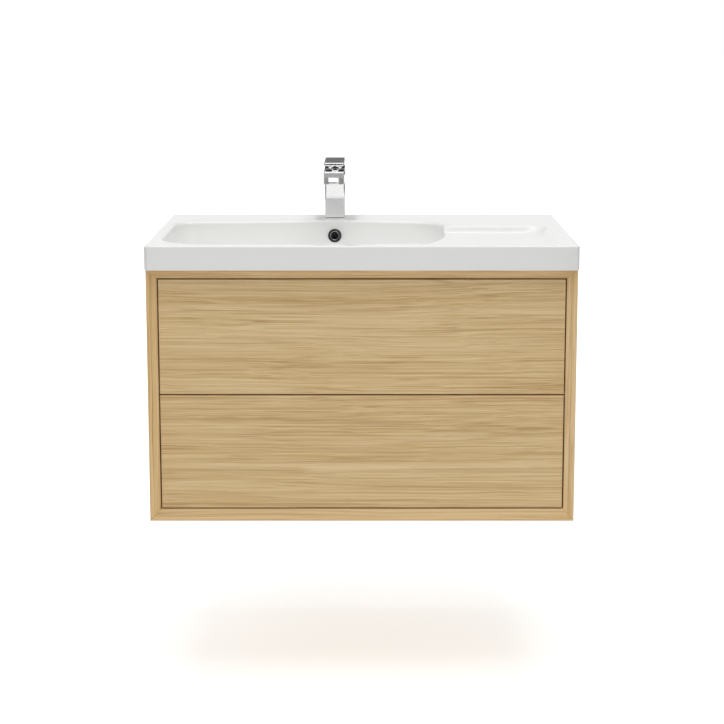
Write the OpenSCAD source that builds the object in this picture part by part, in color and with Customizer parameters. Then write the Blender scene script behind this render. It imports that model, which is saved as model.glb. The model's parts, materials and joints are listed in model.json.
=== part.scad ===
// Wall-hung vanity: bevelled oak cabinet, two push-to-open drawers, cast basin and single-lever tap.
// X runs to the right, -Y to the front and +Z up. The wall is the plane y = 0.
// The origin is the centre of the four wall fixings, halfway up the cabinet.

/* [Cabinet] */
// Width over the side panels
cab_w = 800; // [760:1:900]
// Height over the mitred frame
cab_h = 480; // [470:1:520]
// Depth from the wall to the tip of the bevel
cab_d = 460; // [450:1:500]
// Board thickness of the frame
board = 18; // [16:1:19]
// Depth of the top rail behind the front edge
rail_d = 24; // [20:1:26]
// Thickness of the two rear rails
rear_t = 16; // [12:1:18]

/* [Wall fixings] */
// Spacing of the fixings across the wall
fix_x = 704; // [680:1:716]
// Spacing of the fixings up the wall
fix_z = 364; // [350:1:372]
// Radius of the holes for the wall bolts
fix_r = 4.5; // [3.5:0.5:5]

/* [Drawers] */
// Even gap round the fronts
gap = 2.5; // [2:0.5:4]
// Gap between the two fronts
mid_gap = 3; // [2:0.5:4]
// Thickness of a drawer front
front_t = 18; // [16:1:19]
// Thickness of the drawer sides and backs
side_t = 12; // [10:1:15]
// Thickness of the drawer bottoms
floor_t = 8; // [6:1:10]
// Height of the upper drawer's box
upper_box_h = 120; // [100:1:125]
// Height of the lower drawer's box
lower_box_h = 140; // [100:1:150]

/* [Basin] */
// Width of the basin
basin_w = 804; // [780:1:900]
// Depth of the basin
basin_d = 465; // [455:1:505]
// Height of its visible apron
apron_h = 46; // [40:1:60]
// Depth of the bowl below the rim
bowl_depth = 120; // [110:1:125]
// Depth of the shelf below the rim
shelf_depth = 12; // [8:1:16]
// Wall thickness of the casting
cast_t = 10; // [9:1:12]

/* [Tap and waste] */
// Distance of the tap, overflow and waste from the centre line
tap_x = -57; // [-80:1:0]
// Width of the square tap column
column_w = 42; // [38:1:44]
// Height of the column's top above the basin
column_h = 107; // [100:1:120]
// Height of the waste pipe's centre line above the origin
outlet_z = 62; // [55:1:66]

/* [Hidden] */

oak = [0.75, 0.64, 0.47];
melamine = [0.86, 0.85, 0.83];
steel = [0.72, 0.73, 0.75];
chrome = [0.80, 0.81, 0.83];
enamel = [0.96, 0.96, 0.95];
white_plastic = [0.90, 0.90, 0.89];
dark_plastic = [0.25, 0.25, 0.27];
rubber_black = [0.10, 0.10, 0.10];

round_fn = 48;
small_fn = 32;

// Cabinet
half_w = cab_w / 2;
half_h = cab_h / 2;
inner_x = half_w - board;
inner_z = half_h - board;
front_y = -(cab_d - board);
rear_rail_h = 2 * (half_h - fix_z / 2) - board;
flange_t = 2.5;
bracket_w = 60;
bracket_h = 76;
bracket_z = fix_z / 2;

// Drawers
front_w = 2 * (inner_x - gap);
front_h = (2 * inner_z - 2 * gap - mid_gap) / 2;
box_front_y = front_y + front_t;
box_back_y = -38;
runner_t = 12.7;
box_x = inner_x - runner_t;
upper_front_z = mid_gap / 2;
lower_front_z = -mid_gap / 2 - front_h;
box_lift = 14;
upper_box_z = upper_front_z + box_lift;
lower_box_z = lower_front_z + box_lift;
groove = 5;
groove_z = 8;
floor_play = 0.2;
notch_half = 65;
notch_front_y = -290;
notch_corner_r = 30;
surround_t = 3;

// Runner sections, measured from the cabinet side
runner_len = 376;
runner_back_y = box_back_y - 6;
middle_len = 340;
runner_lift = 30;
sheet = 1.3;
outer_h = 45;
middle_h = 33;
inner_h = 21;
middle_x = 2.3;
drawer_rail_x = runner_t - sheet;
lip_x = 11.5;
ball_r = 2.5;
ball_x = 7;
ball_count = 5;
ball_pitch = 24;
cage_t = 0.4;
cage_len = (ball_count - 1) * ball_pitch + 12;

// Latches
latch_gap = 3.3;
plunger_r = 3.2;
plunger_len = 26;
latch_w = 24;
latch_h = 16;
latch_len = 32;
latch_lift = 98;
plunger_x = box_x - side_t / 2;

// Basin
rim_z = half_h + apron_h;
half_bw = basin_w / 2;
deck_t = 14;
bowl_floor_z = rim_z - bowl_depth;
bowl_left = -378;
bowl_right = 168;
shelf_left = -40;
shelf_right = 372;
rim_front = 26;
bowl_rear = 338;
shelf_rear = 297;
bulge_depth = 30;
bulge_x = -60;
bulge_w = 80;
rear_corner_r = 46;
waste_from_front = 232;
waste_y = -basin_d + waste_from_front;
waste_hole_r = 22.5;
tap_hole_r = 17.5;
overflow_z = rim_z - 31;
overflow_r = 11;
overflow_y = -basin_d + 363;
rings = 9;

// Tap
tap_y = -41;
column_r = 4;
spout_len = 104;
spout_t = 26;
spout_z = 81;
pivot_z = rim_z + 99;
dome_r = 17.3;
lever_t = 6;
lever_w = 41;
lever_front = -146;
lever_rear = -19;
pin_r = 1.5;
cartridge_r = 17.5;
inlet_r = 4.5;
inlet_off = 8;

// Trap
pipe_r = 16;
flask_r = 33;
flask_top = 84;
flask_bottom = 18;
tube_t = 1.6;
nut_h = 14;

// ---------- shared shapes ----------

// A board from two corners
module slab(low, high) {
    translate(low) cube(high - low);
}

// A rounded rectangle with its centre at the origin
module rounded_square(w, d, r) {
    union() {
        square([w, d - 2 * r], center = true);
        square([w - 2 * r, d], center = true);
        for (x = [-1, 1], y = [-1, 1])
            translate([x * (w / 2 - r), y * (d / 2 - r)]) circle(r, $fn = small_fn);
    }
}

// A tube standing on the origin
module tube(r, h, t) {
    difference() {
        cylinder(r = r, h = h, $fn = round_fn);
        translate([0, 0, -1]) cylinder(r = r - t, h = h + 2, $fn = round_fn);
    }
}

// A cylinder along +Y that starts at the origin
module y_rod(r, len) {
    rotate([-90, 0, 0]) cylinder(r = r, h = len, $fn = round_fn);
}

// A cylinder along +X that starts at the origin
module x_rod(r, len) {
    rotate([0, 90, 0]) cylinder(r = r, h = len, $fn = small_fn);
}

// The same thing on the left and on the right
module both_sides() {
    for (side = [-1, 1]) scale_side(side) children();
}

// Mirrors the right-hand form to the left where side is -1
module scale_side(side) {
    if (side > 0) children();
    else mirror([1, 0, 0]) children();
}

// A closed solid through rings of points, each ring with the same number of points
module loft(rows) {
    n = len(rows[0]);
    m = len(rows);
    points = [for (row = rows) for (p = row) p];
    sides = [for (j = [0 : m - 2], i = [0 : n - 1])
        let (k = (i + 1) % n) each [
            [j * n + i, j * n + k, (j + 1) * n + k],
            [j * n + i, (j + 1) * n + k, (j + 1) * n + i]
        ]];
    first = [[for (i = [n - 1 : -1 : 0]) i]];
    last = [[for (i = [0 : n - 1]) (m - 1) * n + i]];
    polyhedron(points = points, faces = concat(sides, first, last), convexity = 6);
}

// ---------- cabinet ----------

// A frame board seen from above: straight at the back, cut at 45 degrees at the front
module bevel_section(outer, inner) {
    polygon([[outer, 0], [outer, -cab_d], [inner, front_y], [inner, 0]]);
}

// The right-hand side panel, mitred at the bottom for its whole depth and at the top along the rail
module side_board() {
    difference() {
        translate([0, 0, -half_h]) linear_extrude(cab_h) bevel_section(half_w, inner_x);
        mitre_wedge(-1, 0);
        mitre_wedge(1, -cab_d + rail_d);
        for (z = cam_heights())
            translate([inner_x - 1, -rear_t / 2, z]) x_rod(dowel_r, dowel_len / 2 + 1);
    }
}

// What a mitre takes off a side panel, from the front edge back to the given depth
module mitre_wedge(up, back_y) {
    mirror([0, 0, up > 0 ? 0 : 1])
        translate([0, back_y + (up > 0 ? 0 : 1), 0]) rotate([90, 0, 0])
            linear_extrude(cab_d + back_y + 2)
                polygon([[inner_x - 1, inner_z - 1], [inner_x - 1, half_h + 1], [half_w + 1, half_h + 1]]);
}

module side_panel_left() {
    color(oak) mirror([1, 0, 0]) side_board();
}

module side_panel_right() {
    color(oak) side_board();
}

// A horizontal frame board, bevelled in front and mitred at both ends
module level_board(depth) {
    intersection() {
        translate([-half_w, 0, 0]) rotate([90, 0, 90]) linear_extrude(cab_w)
            polygon([[-cab_d, half_h], [front_y, inner_z], [-cab_d + depth, inner_z],
                     [-cab_d + depth, half_h]]);
        translate([0, 1, 0]) rotate([90, 0, 0]) linear_extrude(cab_d + 2)
            polygon([[-half_w, half_h], [half_w, half_h], [inner_x, inner_z], [-inner_x, inner_z]]);
    }
}

module bottom_panel() {
    color(oak) mirror([0, 0, 1]) level_board(cab_d);
}

module front_rail() {
    color(oak) level_board(rail_d);
}

dowel_r = 4;
dowel_len = 30;
cam_r = 7.5;
cam_t = 12;
cam_back = 24;

function upper_rail_span() = [half_h - rear_rail_h - board, half_h];
function lower_rail_span() = [-inner_z, -inner_z + rear_rail_h];
function cam_heights() = [upper_rail_span()[0] + 20, half_h - 20,
                          lower_rail_span()[0] + 20, lower_rail_span()[1] - 20];

// A board across the back with holes for wall bolts, dowels and cams
module rear_rail(span, bolt_z) {
    difference() {
        slab([-inner_x, -rear_t, span[0]], [inner_x, 0, span[1]]);
        for (x = [-1, 1]) {
            translate([x * fix_x / 2, -rear_t - 1, bolt_z]) y_rod(fix_r, rear_t + 2);
            for (z = [span[0] + 20, span[1] - 20]) {
                translate([x > 0 ? inner_x - dowel_len / 2 : -inner_x - 1, -rear_t / 2, z])
                    x_rod(dowel_r, dowel_len / 2 + 1);
                translate([x * (inner_x - cam_back), -rear_t - 1, z]) y_rod(cam_r, cam_t + 1);
            }
        }
    }
}

module rear_rail_upper() {
    color(melamine) rear_rail(upper_rail_span(), fix_z / 2);
}

module rear_rail_lower() {
    color(melamine) rear_rail(lower_rail_span(), -fix_z / 2);
}

// Eccentric cams in the rear rails, each with its cross slot
module cam_locks() {
    color(steel) both_sides() for (z = cam_heights())
        translate([inner_x - cam_back, -rear_t, z]) difference() {
            y_rod(cam_r - 0.1, cam_t - 0.2);
            slab([-5, -1, -0.8], [5, 2.5, 0.8]);
            slab([-0.8, -1, -5], [0.8, 2.5, 5]);
        }
}

// Beech dowels between the rear rails and the side panels
module dowels() {
    color(oak) both_sides() for (z = cam_heights())
        translate([inner_x - dowel_len / 2 + 0.3, -rear_t / 2, z]) x_rod(dowel_r - 0.05, dowel_len - 0.6);
}

// ---------- hanger brackets ----------

bracket_screw_y = [-34, -58];
bracket_leg = 56;
screw_r = 2.2;

// A folded steel angle in the upper rear corner, with a gusset and holes for bolt and screws
module hanger_bracket() {
    low = bracket_z - bracket_h / 2;
    high = bracket_z + bracket_h / 2;
    back = -rear_t;
    difference() {
        union() {
            slab([inner_x - bracket_w, back - flange_t, low], [inner_x, back, high]);
            slab([inner_x - flange_t, back - bracket_leg, low], [inner_x, back, high]);
            translate([0, 0, low]) linear_extrude(flange_t)
                polygon([[inner_x - bracket_w + 8, back - flange_t],
                         [inner_x - flange_t, back - bracket_leg + 6],
                         [inner_x - flange_t, back - flange_t]]);
        }
        translate([fix_x / 2, back - flange_t - 1, bracket_z]) y_rod(fix_r, flange_t + 2);
        for (y = bracket_screw_y, z = [-22, 22])
            translate([inner_x - flange_t - 1, y, bracket_z + z]) x_rod(screw_r + 0.1, flange_t + 2);
    }
}

module hanger_bracket_left() {
    color(steel) mirror([1, 0, 0]) hanger_bracket();
}

module hanger_bracket_right() {
    color(steel) hanger_bracket();
}

// Pan-head screws seated on the brackets' side flanges
module bracket_screws() {
    color(steel) both_sides() for (y = bracket_screw_y, z = [-22, 22])
        translate([inner_x - flange_t - 2.6, y, bracket_z + z]) difference() {
            union() {
                x_rod(4.2, 2.6);
                x_rod(screw_r, 2.6 + flange_t);
            }
            slab([-1, -0.5, -2.6], [1.2, 0.5, 2.6]);
            slab([-1, -2.6, -0.5], [1.2, 2.6, 0.5]);
        }
}

// ---------- runners ----------

outer_ball_z = (outer_h / 2 - sheet + middle_h / 2) / 2;
inner_ball_z = (middle_h / 2 - sheet + inner_h / 2) / 2;
ball_play = 0.1;

// A rolled channel seen from the front, with its web at web_x and its flanges reaching tip_x
module channel(web_x, tip_x, h) {
    difference() {
        union() {
            translate([web_x, -h / 2]) square([sheet, h]);
            for (z = [-h / 2, h / 2 - sheet])
                translate([min(web_x, tip_x), z])
                    square([abs(tip_x - web_x) + (tip_x < web_x ? sheet : 0), sheet]);
        }
        for (side = [-1, 1], z = [outer_ball_z, inner_ball_z])
            translate([ball_x, side * z]) circle(ball_r + ball_play, $fn = small_fn);
    }
}

// Carries a section seen from the front along the runner, on both sides of the cabinet
module along_runner(z, back_y, len) {
    both_sides()
        translate([inner_x, back_y, z]) mirror([1, 0, 0]) rotate([90, 0, 0]) linear_extrude(len) children();
}

function runner_z(box_z) = box_z + runner_lift;

module cabinet_rails() {
    color(steel) for (z = [upper_box_z, lower_box_z])
        along_runner(runner_z(z), runner_back_y, runner_len) channel(0, lip_x, outer_h);
}

module middle_rails(box_z) {
    color(steel) along_runner(runner_z(box_z), runner_back_y - (runner_len - middle_len), middle_len)
        channel(middle_x, lip_x, middle_h);
}

module drawer_rails(box_z) {
    color(steel) along_runner(runner_z(box_z), runner_back_y, runner_len)
        channel(drawer_rail_x, middle_x + sheet + 1, inner_h);
}

// A bent strip that holds a row of balls above and below, fused with the balls it carries
module ball_cage(web_x, ball_z, back_y, box_z) {
    both_sides() translate([inner_x, back_y, runner_z(box_z)]) mirror([1, 0, 0]) {
        rotate([90, 0, 0]) linear_extrude(cage_len) {
            translate([web_x, -ball_z]) square([cage_t, 2 * ball_z]);
            for (side = [-1, 1])
                translate([web_x, side * ball_z - cage_t / 2]) square([9.5 - web_x, cage_t]);
        }
        for (side = [-1, 1], i = [0 : ball_count - 1])
            translate([ball_x, -6 - i * ball_pitch, side * ball_z]) sphere(ball_r, $fn = small_fn);
    }
}

module ball_cages(box_z) {
    color(steel) {
        ball_cage(sheet + 0.3, outer_ball_z, -88, box_z);
        ball_cage(middle_x + sheet + 0.3, inner_ball_z, -308, box_z);
    }
}

module upper_middle_rails() { middle_rails(upper_box_z); }
module lower_middle_rails() { middle_rails(lower_box_z); }
module upper_drawer_rails() { drawer_rails(upper_box_z); }
module lower_drawer_rails() { drawer_rails(lower_box_z); }
module upper_ball_cages() { ball_cages(upper_box_z); }
module lower_ball_cages() { ball_cages(lower_box_z); }

// ---------- push latches ----------

latch_front_y = -33;
plunger_tip_y = box_back_y + latch_gap;

// Housings on the side panels behind each drawer side, each with a bore for its plunger
module latch_housings() {
    color(white_plastic) both_sides() for (z = [upper_box_z, lower_box_z])
        difference() {
            union() {
                slab([inner_x - 3, latch_front_y, z + latch_lift - latch_h / 2 - 6],
                     [inner_x, latch_front_y + latch_len, z + latch_lift + latch_h / 2]);
                slab([inner_x - latch_w - 2, latch_front_y, z + latch_lift - latch_h / 2],
                     [inner_x - 1, latch_front_y + latch_len, z + latch_lift + latch_h / 2]);
            }
            translate([plunger_x, latch_front_y - 1, z + latch_lift])
                y_rod(plunger_r + 0.1, plunger_len + 1.6);
        }
}

module latch_plungers(box_z) {
    color(dark_plastic) both_sides() translate([plunger_x, plunger_tip_y, box_z + latch_lift]) {
        y_rod(plunger_r - 0.8, 1);
        translate([0, 1, 0]) y_rod(plunger_r, plunger_len - 1);
    }
}

module upper_latch_plungers() { latch_plungers(upper_box_z); }
module lower_latch_plungers() { latch_plungers(lower_box_z); }

// ---------- drawers ----------

floor_half = box_x - side_t + groove - floor_play;
cut_low = tap_x - notch_half;
cut_high = tap_x + notch_half;

// A drawer front with the groove that takes the bottom board
module drawer_front(low_z, box_z) {
    difference() {
        slab([-front_w / 2, front_y, low_z], [front_w / 2, box_front_y, low_z + front_h]);
        slab([-floor_half - floor_play, box_front_y - groove, box_z + groove_z - floor_play / 2],
             [floor_half + floor_play, box_front_y + 1, box_z + groove_z + floor_t + floor_play / 2]);
    }
}

// The right-hand side board of a drawer, grooved for the bottom
module drawer_side(box_z, h) {
    difference() {
        slab([box_x - side_t, box_front_y, box_z], [box_x, box_back_y, box_z + h]);
        slab([box_x - side_t - 1, box_front_y - 1, box_z + groove_z - floor_play / 2],
             [box_x - side_t + groove, box_back_y + 1, box_z + groove_z + floor_t + floor_play / 2]);
    }
}

// A bottom board that runs from the groove in the front to the rear edge
module drawer_bottom(box_z) {
    slab([-floor_half, box_front_y - groove + floor_play, box_z + groove_z],
         [floor_half, box_back_y, box_z + groove_z + floor_t]);
}

module drawer_back(x0, x1, box_z, h) {
    slab([x0, box_back_y - side_t, box_z + groove_z + floor_t], [x1, box_back_y, box_z + h]);
}

// Folded angles that hold the front to the sides, with their screws
module front_fixings(box_z) {
    angle = 22;
    t = 2;
    seat = 0.05;
    low = box_z + 50;
    high = low + 40;
    x = box_x - side_t;
    y = box_front_y;
    both_sides() {
        difference() {
            union() {
                slab([x - angle, y, low], [x, y + t, high]);
                slab([x - t, y, low], [x, y + angle, high]);
            }
            for (z = [low + 10, high - 10]) {
                translate([x - angle + 8, y - 1, z]) y_rod(screw_r + 0.1, t + 2);
                translate([x - t - 1, y + angle - 8, z]) x_rod(screw_r + 0.1, t + 2);
            }
        }
        for (z = [low + 10, high - 10]) {
            translate([x - angle + 8, y, z]) {
                y_rod(screw_r, t + 1);
                translate([0, t + seat, 0]) y_rod(4, 2.2);
            }
            translate([x - t - seat - 2.2, y + angle - 8, z]) {
                x_rod(4, 2.2);
                x_rod(screw_r, t + seat + 2.2);
            }
        }
    }
}

module upper_front() {
    color(oak) drawer_front(upper_front_z, upper_box_z);
}

module upper_side_left() {
    color(melamine) mirror([1, 0, 0]) drawer_side(upper_box_z, upper_box_h);
}

module upper_side_right() {
    color(melamine) drawer_side(upper_box_z, upper_box_h);
}

module upper_back_left() {
    color(melamine) drawer_back(-box_x + side_t, cut_low - surround_t - 4, upper_box_z, upper_box_h);
}

module upper_back_right() {
    color(melamine) drawer_back(cut_high + surround_t + 4, box_x - side_t, upper_box_z, upper_box_h);
}

// The U-shaped outline of the cut-out, seen from above, grown by a wall thickness
module cut_outline(grow) {
    r = notch_corner_r + grow;
    half = notch_half + grow;
    translate([tap_x - half, notch_front_y - grow + r])
        square([2 * half, -notch_front_y - r + grow + box_back_y]);
    translate([tap_x - half + r, notch_front_y - grow]) square([2 * (half - r), r + 1]);
    for (side = [-1, 1])
        translate([tap_x + side * (half - r), notch_front_y - grow + r]) circle(r, $fn = round_fn);
}

// Moulded surround that lines the cut-out, with a flange on the drawer bottom and a rolled top edge
module upper_trap_surround() {
    low = upper_box_z + groove_z + floor_t;
    color(white_plastic) difference() {
        union() {
            translate([0, 0, low]) linear_extrude(upper_box_h - groove_z - floor_t) cut_outline(surround_t);
            translate([0, 0, low]) linear_extrude(2) difference() {
                cut_outline(surround_t + 14);
                translate([-half_w, box_back_y - side_t - 0.3]) square([cab_w, 2 * side_t]);
            }
            translate([0, 0, upper_box_z + upper_box_h - 2]) linear_extrude(2) cut_outline(surround_t + 4);
        }
        translate([0, 0, low - 1]) linear_extrude(upper_box_h + 2) union() {
            cut_outline(0);
            translate([cut_low, box_back_y - 1]) square([2 * notch_half, 4]);
        }
    }
}

module upper_bottom() {
    color(melamine) difference() {
        drawer_bottom(upper_box_z);
        translate([0, 0, upper_box_z]) linear_extrude(30) union() {
            cut_outline(0);
            translate([cut_low, box_back_y - 1]) square([2 * notch_half, 4]);
        }
    }
}

module upper_front_brackets() {
    color(steel) front_fixings(upper_box_z);
}

module lower_front() {
    color(oak) drawer_front(lower_front_z, lower_box_z);
}

module lower_side_left() {
    color(melamine) mirror([1, 0, 0]) drawer_side(lower_box_z, lower_box_h);
}

module lower_side_right() {
    color(melamine) drawer_side(lower_box_z, lower_box_h);
}

module lower_back() {
    color(melamine) drawer_back(-box_x + side_t, box_x - side_t, lower_box_z, lower_box_h);
}

module lower_bottom() {
    color(melamine) drawer_bottom(lower_box_z);
}

module lower_front_brackets() {
    color(steel) front_fixings(lower_box_z);
}

// ---------- basin ----------

lip_r = 6;
side_blend = 62;
front_blend = 140;
rear_blend = 62;
edge_r = 3.5;
apron_t = 12;
boss_r = 34;
boss_z = bowl_floor_z - cast_t - 14;
flange_r = 31.5;
floor_fall = 5;
end_rx = 170;
end_front_ry = 212;
end_rear_ry = 100;
corner_steps = 5;
end_steps = 9;
duct_half = 19;
duct_slot = 12;
ring_seat_y = overflow_y - 1;

// Points of a quarter ellipse round a centre, starting at the given angle
function corner(cx, cy, rx, ry, from, n) =
    [for (i = [0 : n]) let (a = from + 90 * i / n) [cx + rx * cos(a), cy + ry * sin(a)]];

// How far the bowl's rear edge swells towards the tap
function swell(x) = bulge_depth * exp(-pow((x - bulge_x) / bulge_w, 2));

function swollen(points, share) = [for (p = points) [p[0], p[1] + share * swell(p[0])]];

// The bowl's outline seen from above, drawn in by three distances; y counts from the front edge
function bowl_outline(side, front, rear, share) =
    let (x0 = bowl_left + side, x1 = bowl_right - side, y0 = rim_front + front, y1 = bowl_rear - rear,
         r = max(rear_corner_r - side / 2, 12), rx = end_rx - side, fy = end_front_ry - front,
         ry = end_rear_ry - rear,
         back = [for (i = [1 : end_steps - 1]) [(x1 - rx) + (x0 + r - x1 + rx) * i / end_steps, y1]])
    concat(
        corner(x0 + r, y0 + r, r, r, 180, corner_steps),
        corner(x1 - rx, y0 + fy, rx, fy, 270, end_steps),
        swollen(concat(corner(x1 - rx, y1 - ry, rx, ry, 0, end_steps), back,
                       corner(x0 + r, y1 - r, r, r, 90, corner_steps)), share));

function at_height(points, z) = [for (p = points) [p[0], p[1] - basin_d, z]];

// One ring of the bowl: a is 0 at the rim and 90 on the floor, skin is the distance outside the surface
function bowl_ring(a, skin) =
    let (s = pow(1 - cos(a), 0.8), out = skin * cos(a))
    at_height(bowl_outline(side_blend * s - out, front_blend * s - out, rear_blend * s - out, 1 - 0.7 * s),
              rim_z - lip_r - (bowl_depth - lip_r - floor_fall) * sin(a) - skin * sin(a));

// A ring of the rounded lip above the bowl's wall
function lip_ring(b) =
    let (out = lip_r * (1 - sin(b)))
    at_height(bowl_outline(-out, -out, -out, 1), rim_z - lip_r * (1 - cos(b)));

// The last ring of the floor: a circle round the waste, point for point with the ring before it
function waste_ring(r, z, like) =
    [for (p = like) let (a = atan2(p[1] - waste_y, p[0] - tap_x))
        [tap_x + r * cos(a), waste_y + r * sin(a), z]];

module bowl_cavity() {
    floor_ring = bowl_ring(90, 0);
    top = at_height(bowl_outline(-lip_r, -lip_r, -lip_r, 1), rim_z + 1);
    loft(concat([top], [for (b = [25, 55]) lip_ring(b)],
                [for (i = [0 : rings]) bowl_ring(90 * i / rings, 0)],
                [waste_ring(flange_r + 5, bowl_floor_z, floor_ring)]));
}

module bowl_shell() {
    loft(concat([at_height(bowl_outline(-cast_t, -cast_t, -cast_t, 1), rim_z - 3)],
                [for (i = [1 : rings]) bowl_ring(90 * i / rings, cast_t)]));
}

// The shelf's outline, drawn in by three distances
function shelf_outline(front, right, rear) =
    let (x0 = shelf_left, x1 = shelf_right - right, y0 = rim_front + 2 + front, y1 = shelf_rear - rear,
         r = 26, q = 34, n = corner_steps)
    concat(corner(x0 + 2, y0 + 2, 2, 2, 180, n), corner(x1 - r, y0 + r, r, r, 270, n),
           corner(x1 - q, y1 - q, q, q, 0, n), corner(x0 + 2, y1 - 2, 2, 2, 90, n));

function shelf_ring(u) =
    at_height(shelf_outline(10 * u, 27 * u, 8 * u), rim_z - shelf_depth * (1 - cos(180 * u)) / 2);

module shelf_cavity() {
    loft(concat([at_height(shelf_outline(0, 0, 0), rim_z + 1)], [for (i = [1 : 6]) shelf_ring(i / 6)]));
}

module shelf_shell() {
    skin = shelf_outline(-6, -6, -6);
    loft([at_height(skin, rim_z - 3), at_height(skin, rim_z - shelf_depth - cast_t)]);
}

// The deck with its apron: rounded top edge, open underneath
module deck_shell() {
    function plan(inset, z) =
        let (x = half_bw - inset, r = 7, n = 4)
        at_height(concat(corner(r - x, inset + r, r, r, 180, n), corner(x - r, inset + r, r, r, 270, n),
                         corner(x - r, basin_d - inset - 2, 2, 2, 0, n),
                         corner(2 - x, basin_d - inset - 2, 2, 2, 90, n)), z);
    difference() {
        loft(concat([for (b = [0, 30, 60, 90]) plan(edge_r * (1 - sin(b)), rim_z - edge_r * (1 - cos(b)))],
                    [plan(0, half_h)]));
        slab([apron_t - half_bw, apron_t + 2 - basin_d, half_h - 1],
             [half_bw - apron_t, -apron_t, rim_z - deck_t]);
    }
}

// The cast channel from the overflow down to the waste, solid outside and hollow inside
module overflow_duct(half, skin) {
    y1 = overflow_y + 22 - skin;
    slab([tap_x - half, overflow_y + 6 + (skin > 0 ? 4 : -4), boss_z + skin],
         [tap_x + half, y1, overflow_z + 17 - skin]);
    slab([tap_x - half, waste_y, boss_z + skin], [tap_x + half, y1, bowl_floor_z - cast_t + 2 - skin]);
}

// The casting before its round holes are drilled
module casting() {
    difference() {
        union() {
            deck_shell();
            bowl_shell();
            shelf_shell();
            overflow_duct(duct_half, 0);
            translate([tap_x, waste_y, boss_z]) cylinder(r = boss_r, h = 18, $fn = small_fn);
        }
        bowl_cavity();
        shelf_cavity();
    }
}

module basin() {
    color(enamel) difference() {
        resize([basin_w, basin_d, 0]) casting();
        overflow_duct(duct_slot, 5);
        translate([tap_x, waste_y, boss_z - 1])
            stepped_bore(waste_hole_r, bowl_floor_z - 3.2 - boss_z + 1, flange_r + 0.4, 12);
        translate([tap_x, tap_y, rim_z - deck_t - 1])
            cylinder(r = tap_hole_r, h = deck_t + 2, $fn = round_fn);
        translate([tap_x, overflow_y + 14, overflow_z]) rotate([90, 0, 0])
            stepped_bore(overflow_r, 15, 14.2, 40);
    }
}

// A hole along Z that opens into a wider seat
module stepped_bore(r, depth, seat_r, seat_depth) {
    rotate_extrude($fn = round_fn)
        polygon([[0, 0], [r, 0], [r, depth], [seat_r, depth],
                 [seat_r, depth + seat_depth], [0, depth + seat_depth]]);
}

// Chrome ring with a short sleeve in the overflow hole
module overflow_ring() {
    color(chrome) translate([tap_x, ring_seat_y, overflow_z]) difference() {
        union() {
            translate([0, -2.8, 0]) y_rod(13.8, 2.8);
            translate([0, -2.8, 0]) y_rod(overflow_r - 0.1, 14);
        }
        translate([0, -4, 0]) y_rod(8.6, 20);
    }
}

// ---------- waste and trap ----------

tail_r = 21;
tail_bore = 17;
tail_end = 98;
hub_r = 6;
stem_r = 3.9;
gasket_t = 4;

// Flange in the bowl, threaded tail below it and a three-armed hub that guides the plug
module waste_flange() {
    color(chrome) translate([tap_x, waste_y, 0]) difference() {
        union() {
            difference() {
                union() {
                    translate([0, 0, bowl_floor_z - 3]) cylinder(r = flange_r, h = 3, $fn = round_fn);
                    translate([0, 0, tail_end])
                        cylinder(r = tail_r, h = bowl_floor_z - 3 - tail_end, $fn = round_fn);
                }
                translate([0, 0, tail_end - 1]) cylinder(r = tail_bore, h = 90, $fn = round_fn);
                translate([0, 0, bowl_floor_z - 1.6])
                    cylinder(r1 = tail_bore, r2 = flange_r - 3, h = 1.7, $fn = round_fn);
            }
            translate([0, 0, 128]) cylinder(r = hub_r, h = 16, $fn = round_fn);
            for (a = [0, 120, 240]) rotate(a)
                translate([0, -1.5, 130]) cube([tail_bore + 1, 3, 12]);
        }
        translate([0, 0, 120]) cylinder(r = stem_r + 0.05, h = 30, $fn = round_fn);
    }
}

module waste_gasket() {
    color(rubber_black) translate([tap_x, waste_y, boss_z - gasket_t]) tube(31, gasket_t, 31 - tail_r - 0.1);
}

// Octagonal-rimmed nut that clamps the waste from below
module waste_nut() {
    color(white_plastic) translate([tap_x, waste_y, boss_z - gasket_t - 12]) difference() {
        union() {
            cylinder(r = 30, h = 7, $fn = 8);
            cylinder(r = 26, h = 12, $fn = round_fn);
        }
        translate([0, 0, -1]) cylinder(r = tail_r + 0.1, h = 14, $fn = round_fn);
    }
}

// Press-to-close plug: a low dome on a stem that slides in the flange's hub
module waste_plug() {
    color(chrome) translate([tap_x, waste_y, 0]) {
        translate([0, 0, bowl_floor_z + 0.4]) rotate_extrude($fn = round_fn)
            polygon([[0, 0], [27, 0], [28.5, 1.4], [28, 2.6], [22, 4.2], [12, 5.2], [0, 5.6]]);
        translate([0, 0, 122]) cylinder(r = stem_r, h = bowl_floor_z - 121.5, $fn = round_fn);
    }
}

inlet_top = 116;

module trap_inlet_tube() {
    color(white_plastic) translate([tap_x, waste_y, 34]) tube(pipe_r, inlet_top - 34, tube_t);
}

// A ribbed hand nut on a pipe, opening upwards to a wider bore
module pipe_nut(wide) {
    difference() {
        union() {
            cylinder(r = wide + 4, h = nut_h, $fn = round_fn);
            for (a = [0 : 30 : 330]) rotate(a)
                translate([wide + 2, -2, 0]) cube([4, 4, nut_h - 2]);
        }
        translate([0, 0, -1]) cylinder(r = pipe_r + 0.2, h = nut_h + 2, $fn = round_fn);
        translate([0, 0, 3]) cylinder(r = wide, h = nut_h, $fn = round_fn);
    }
}

collar_r = 20;
stub_end_y = waste_y + flask_r + 24;

// Hand nuts at the tail, at the top of the flask and at its outlet
module trap_nuts() {
    color(white_plastic) {
        translate([tap_x, waste_y, tail_end - 3]) pipe_nut(tail_r + 0.2);
        translate([tap_x, stub_end_y + 3, outlet_z]) rotate([90, 0, 0]) pipe_nut(collar_r + 0.2);
    }
}

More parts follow.
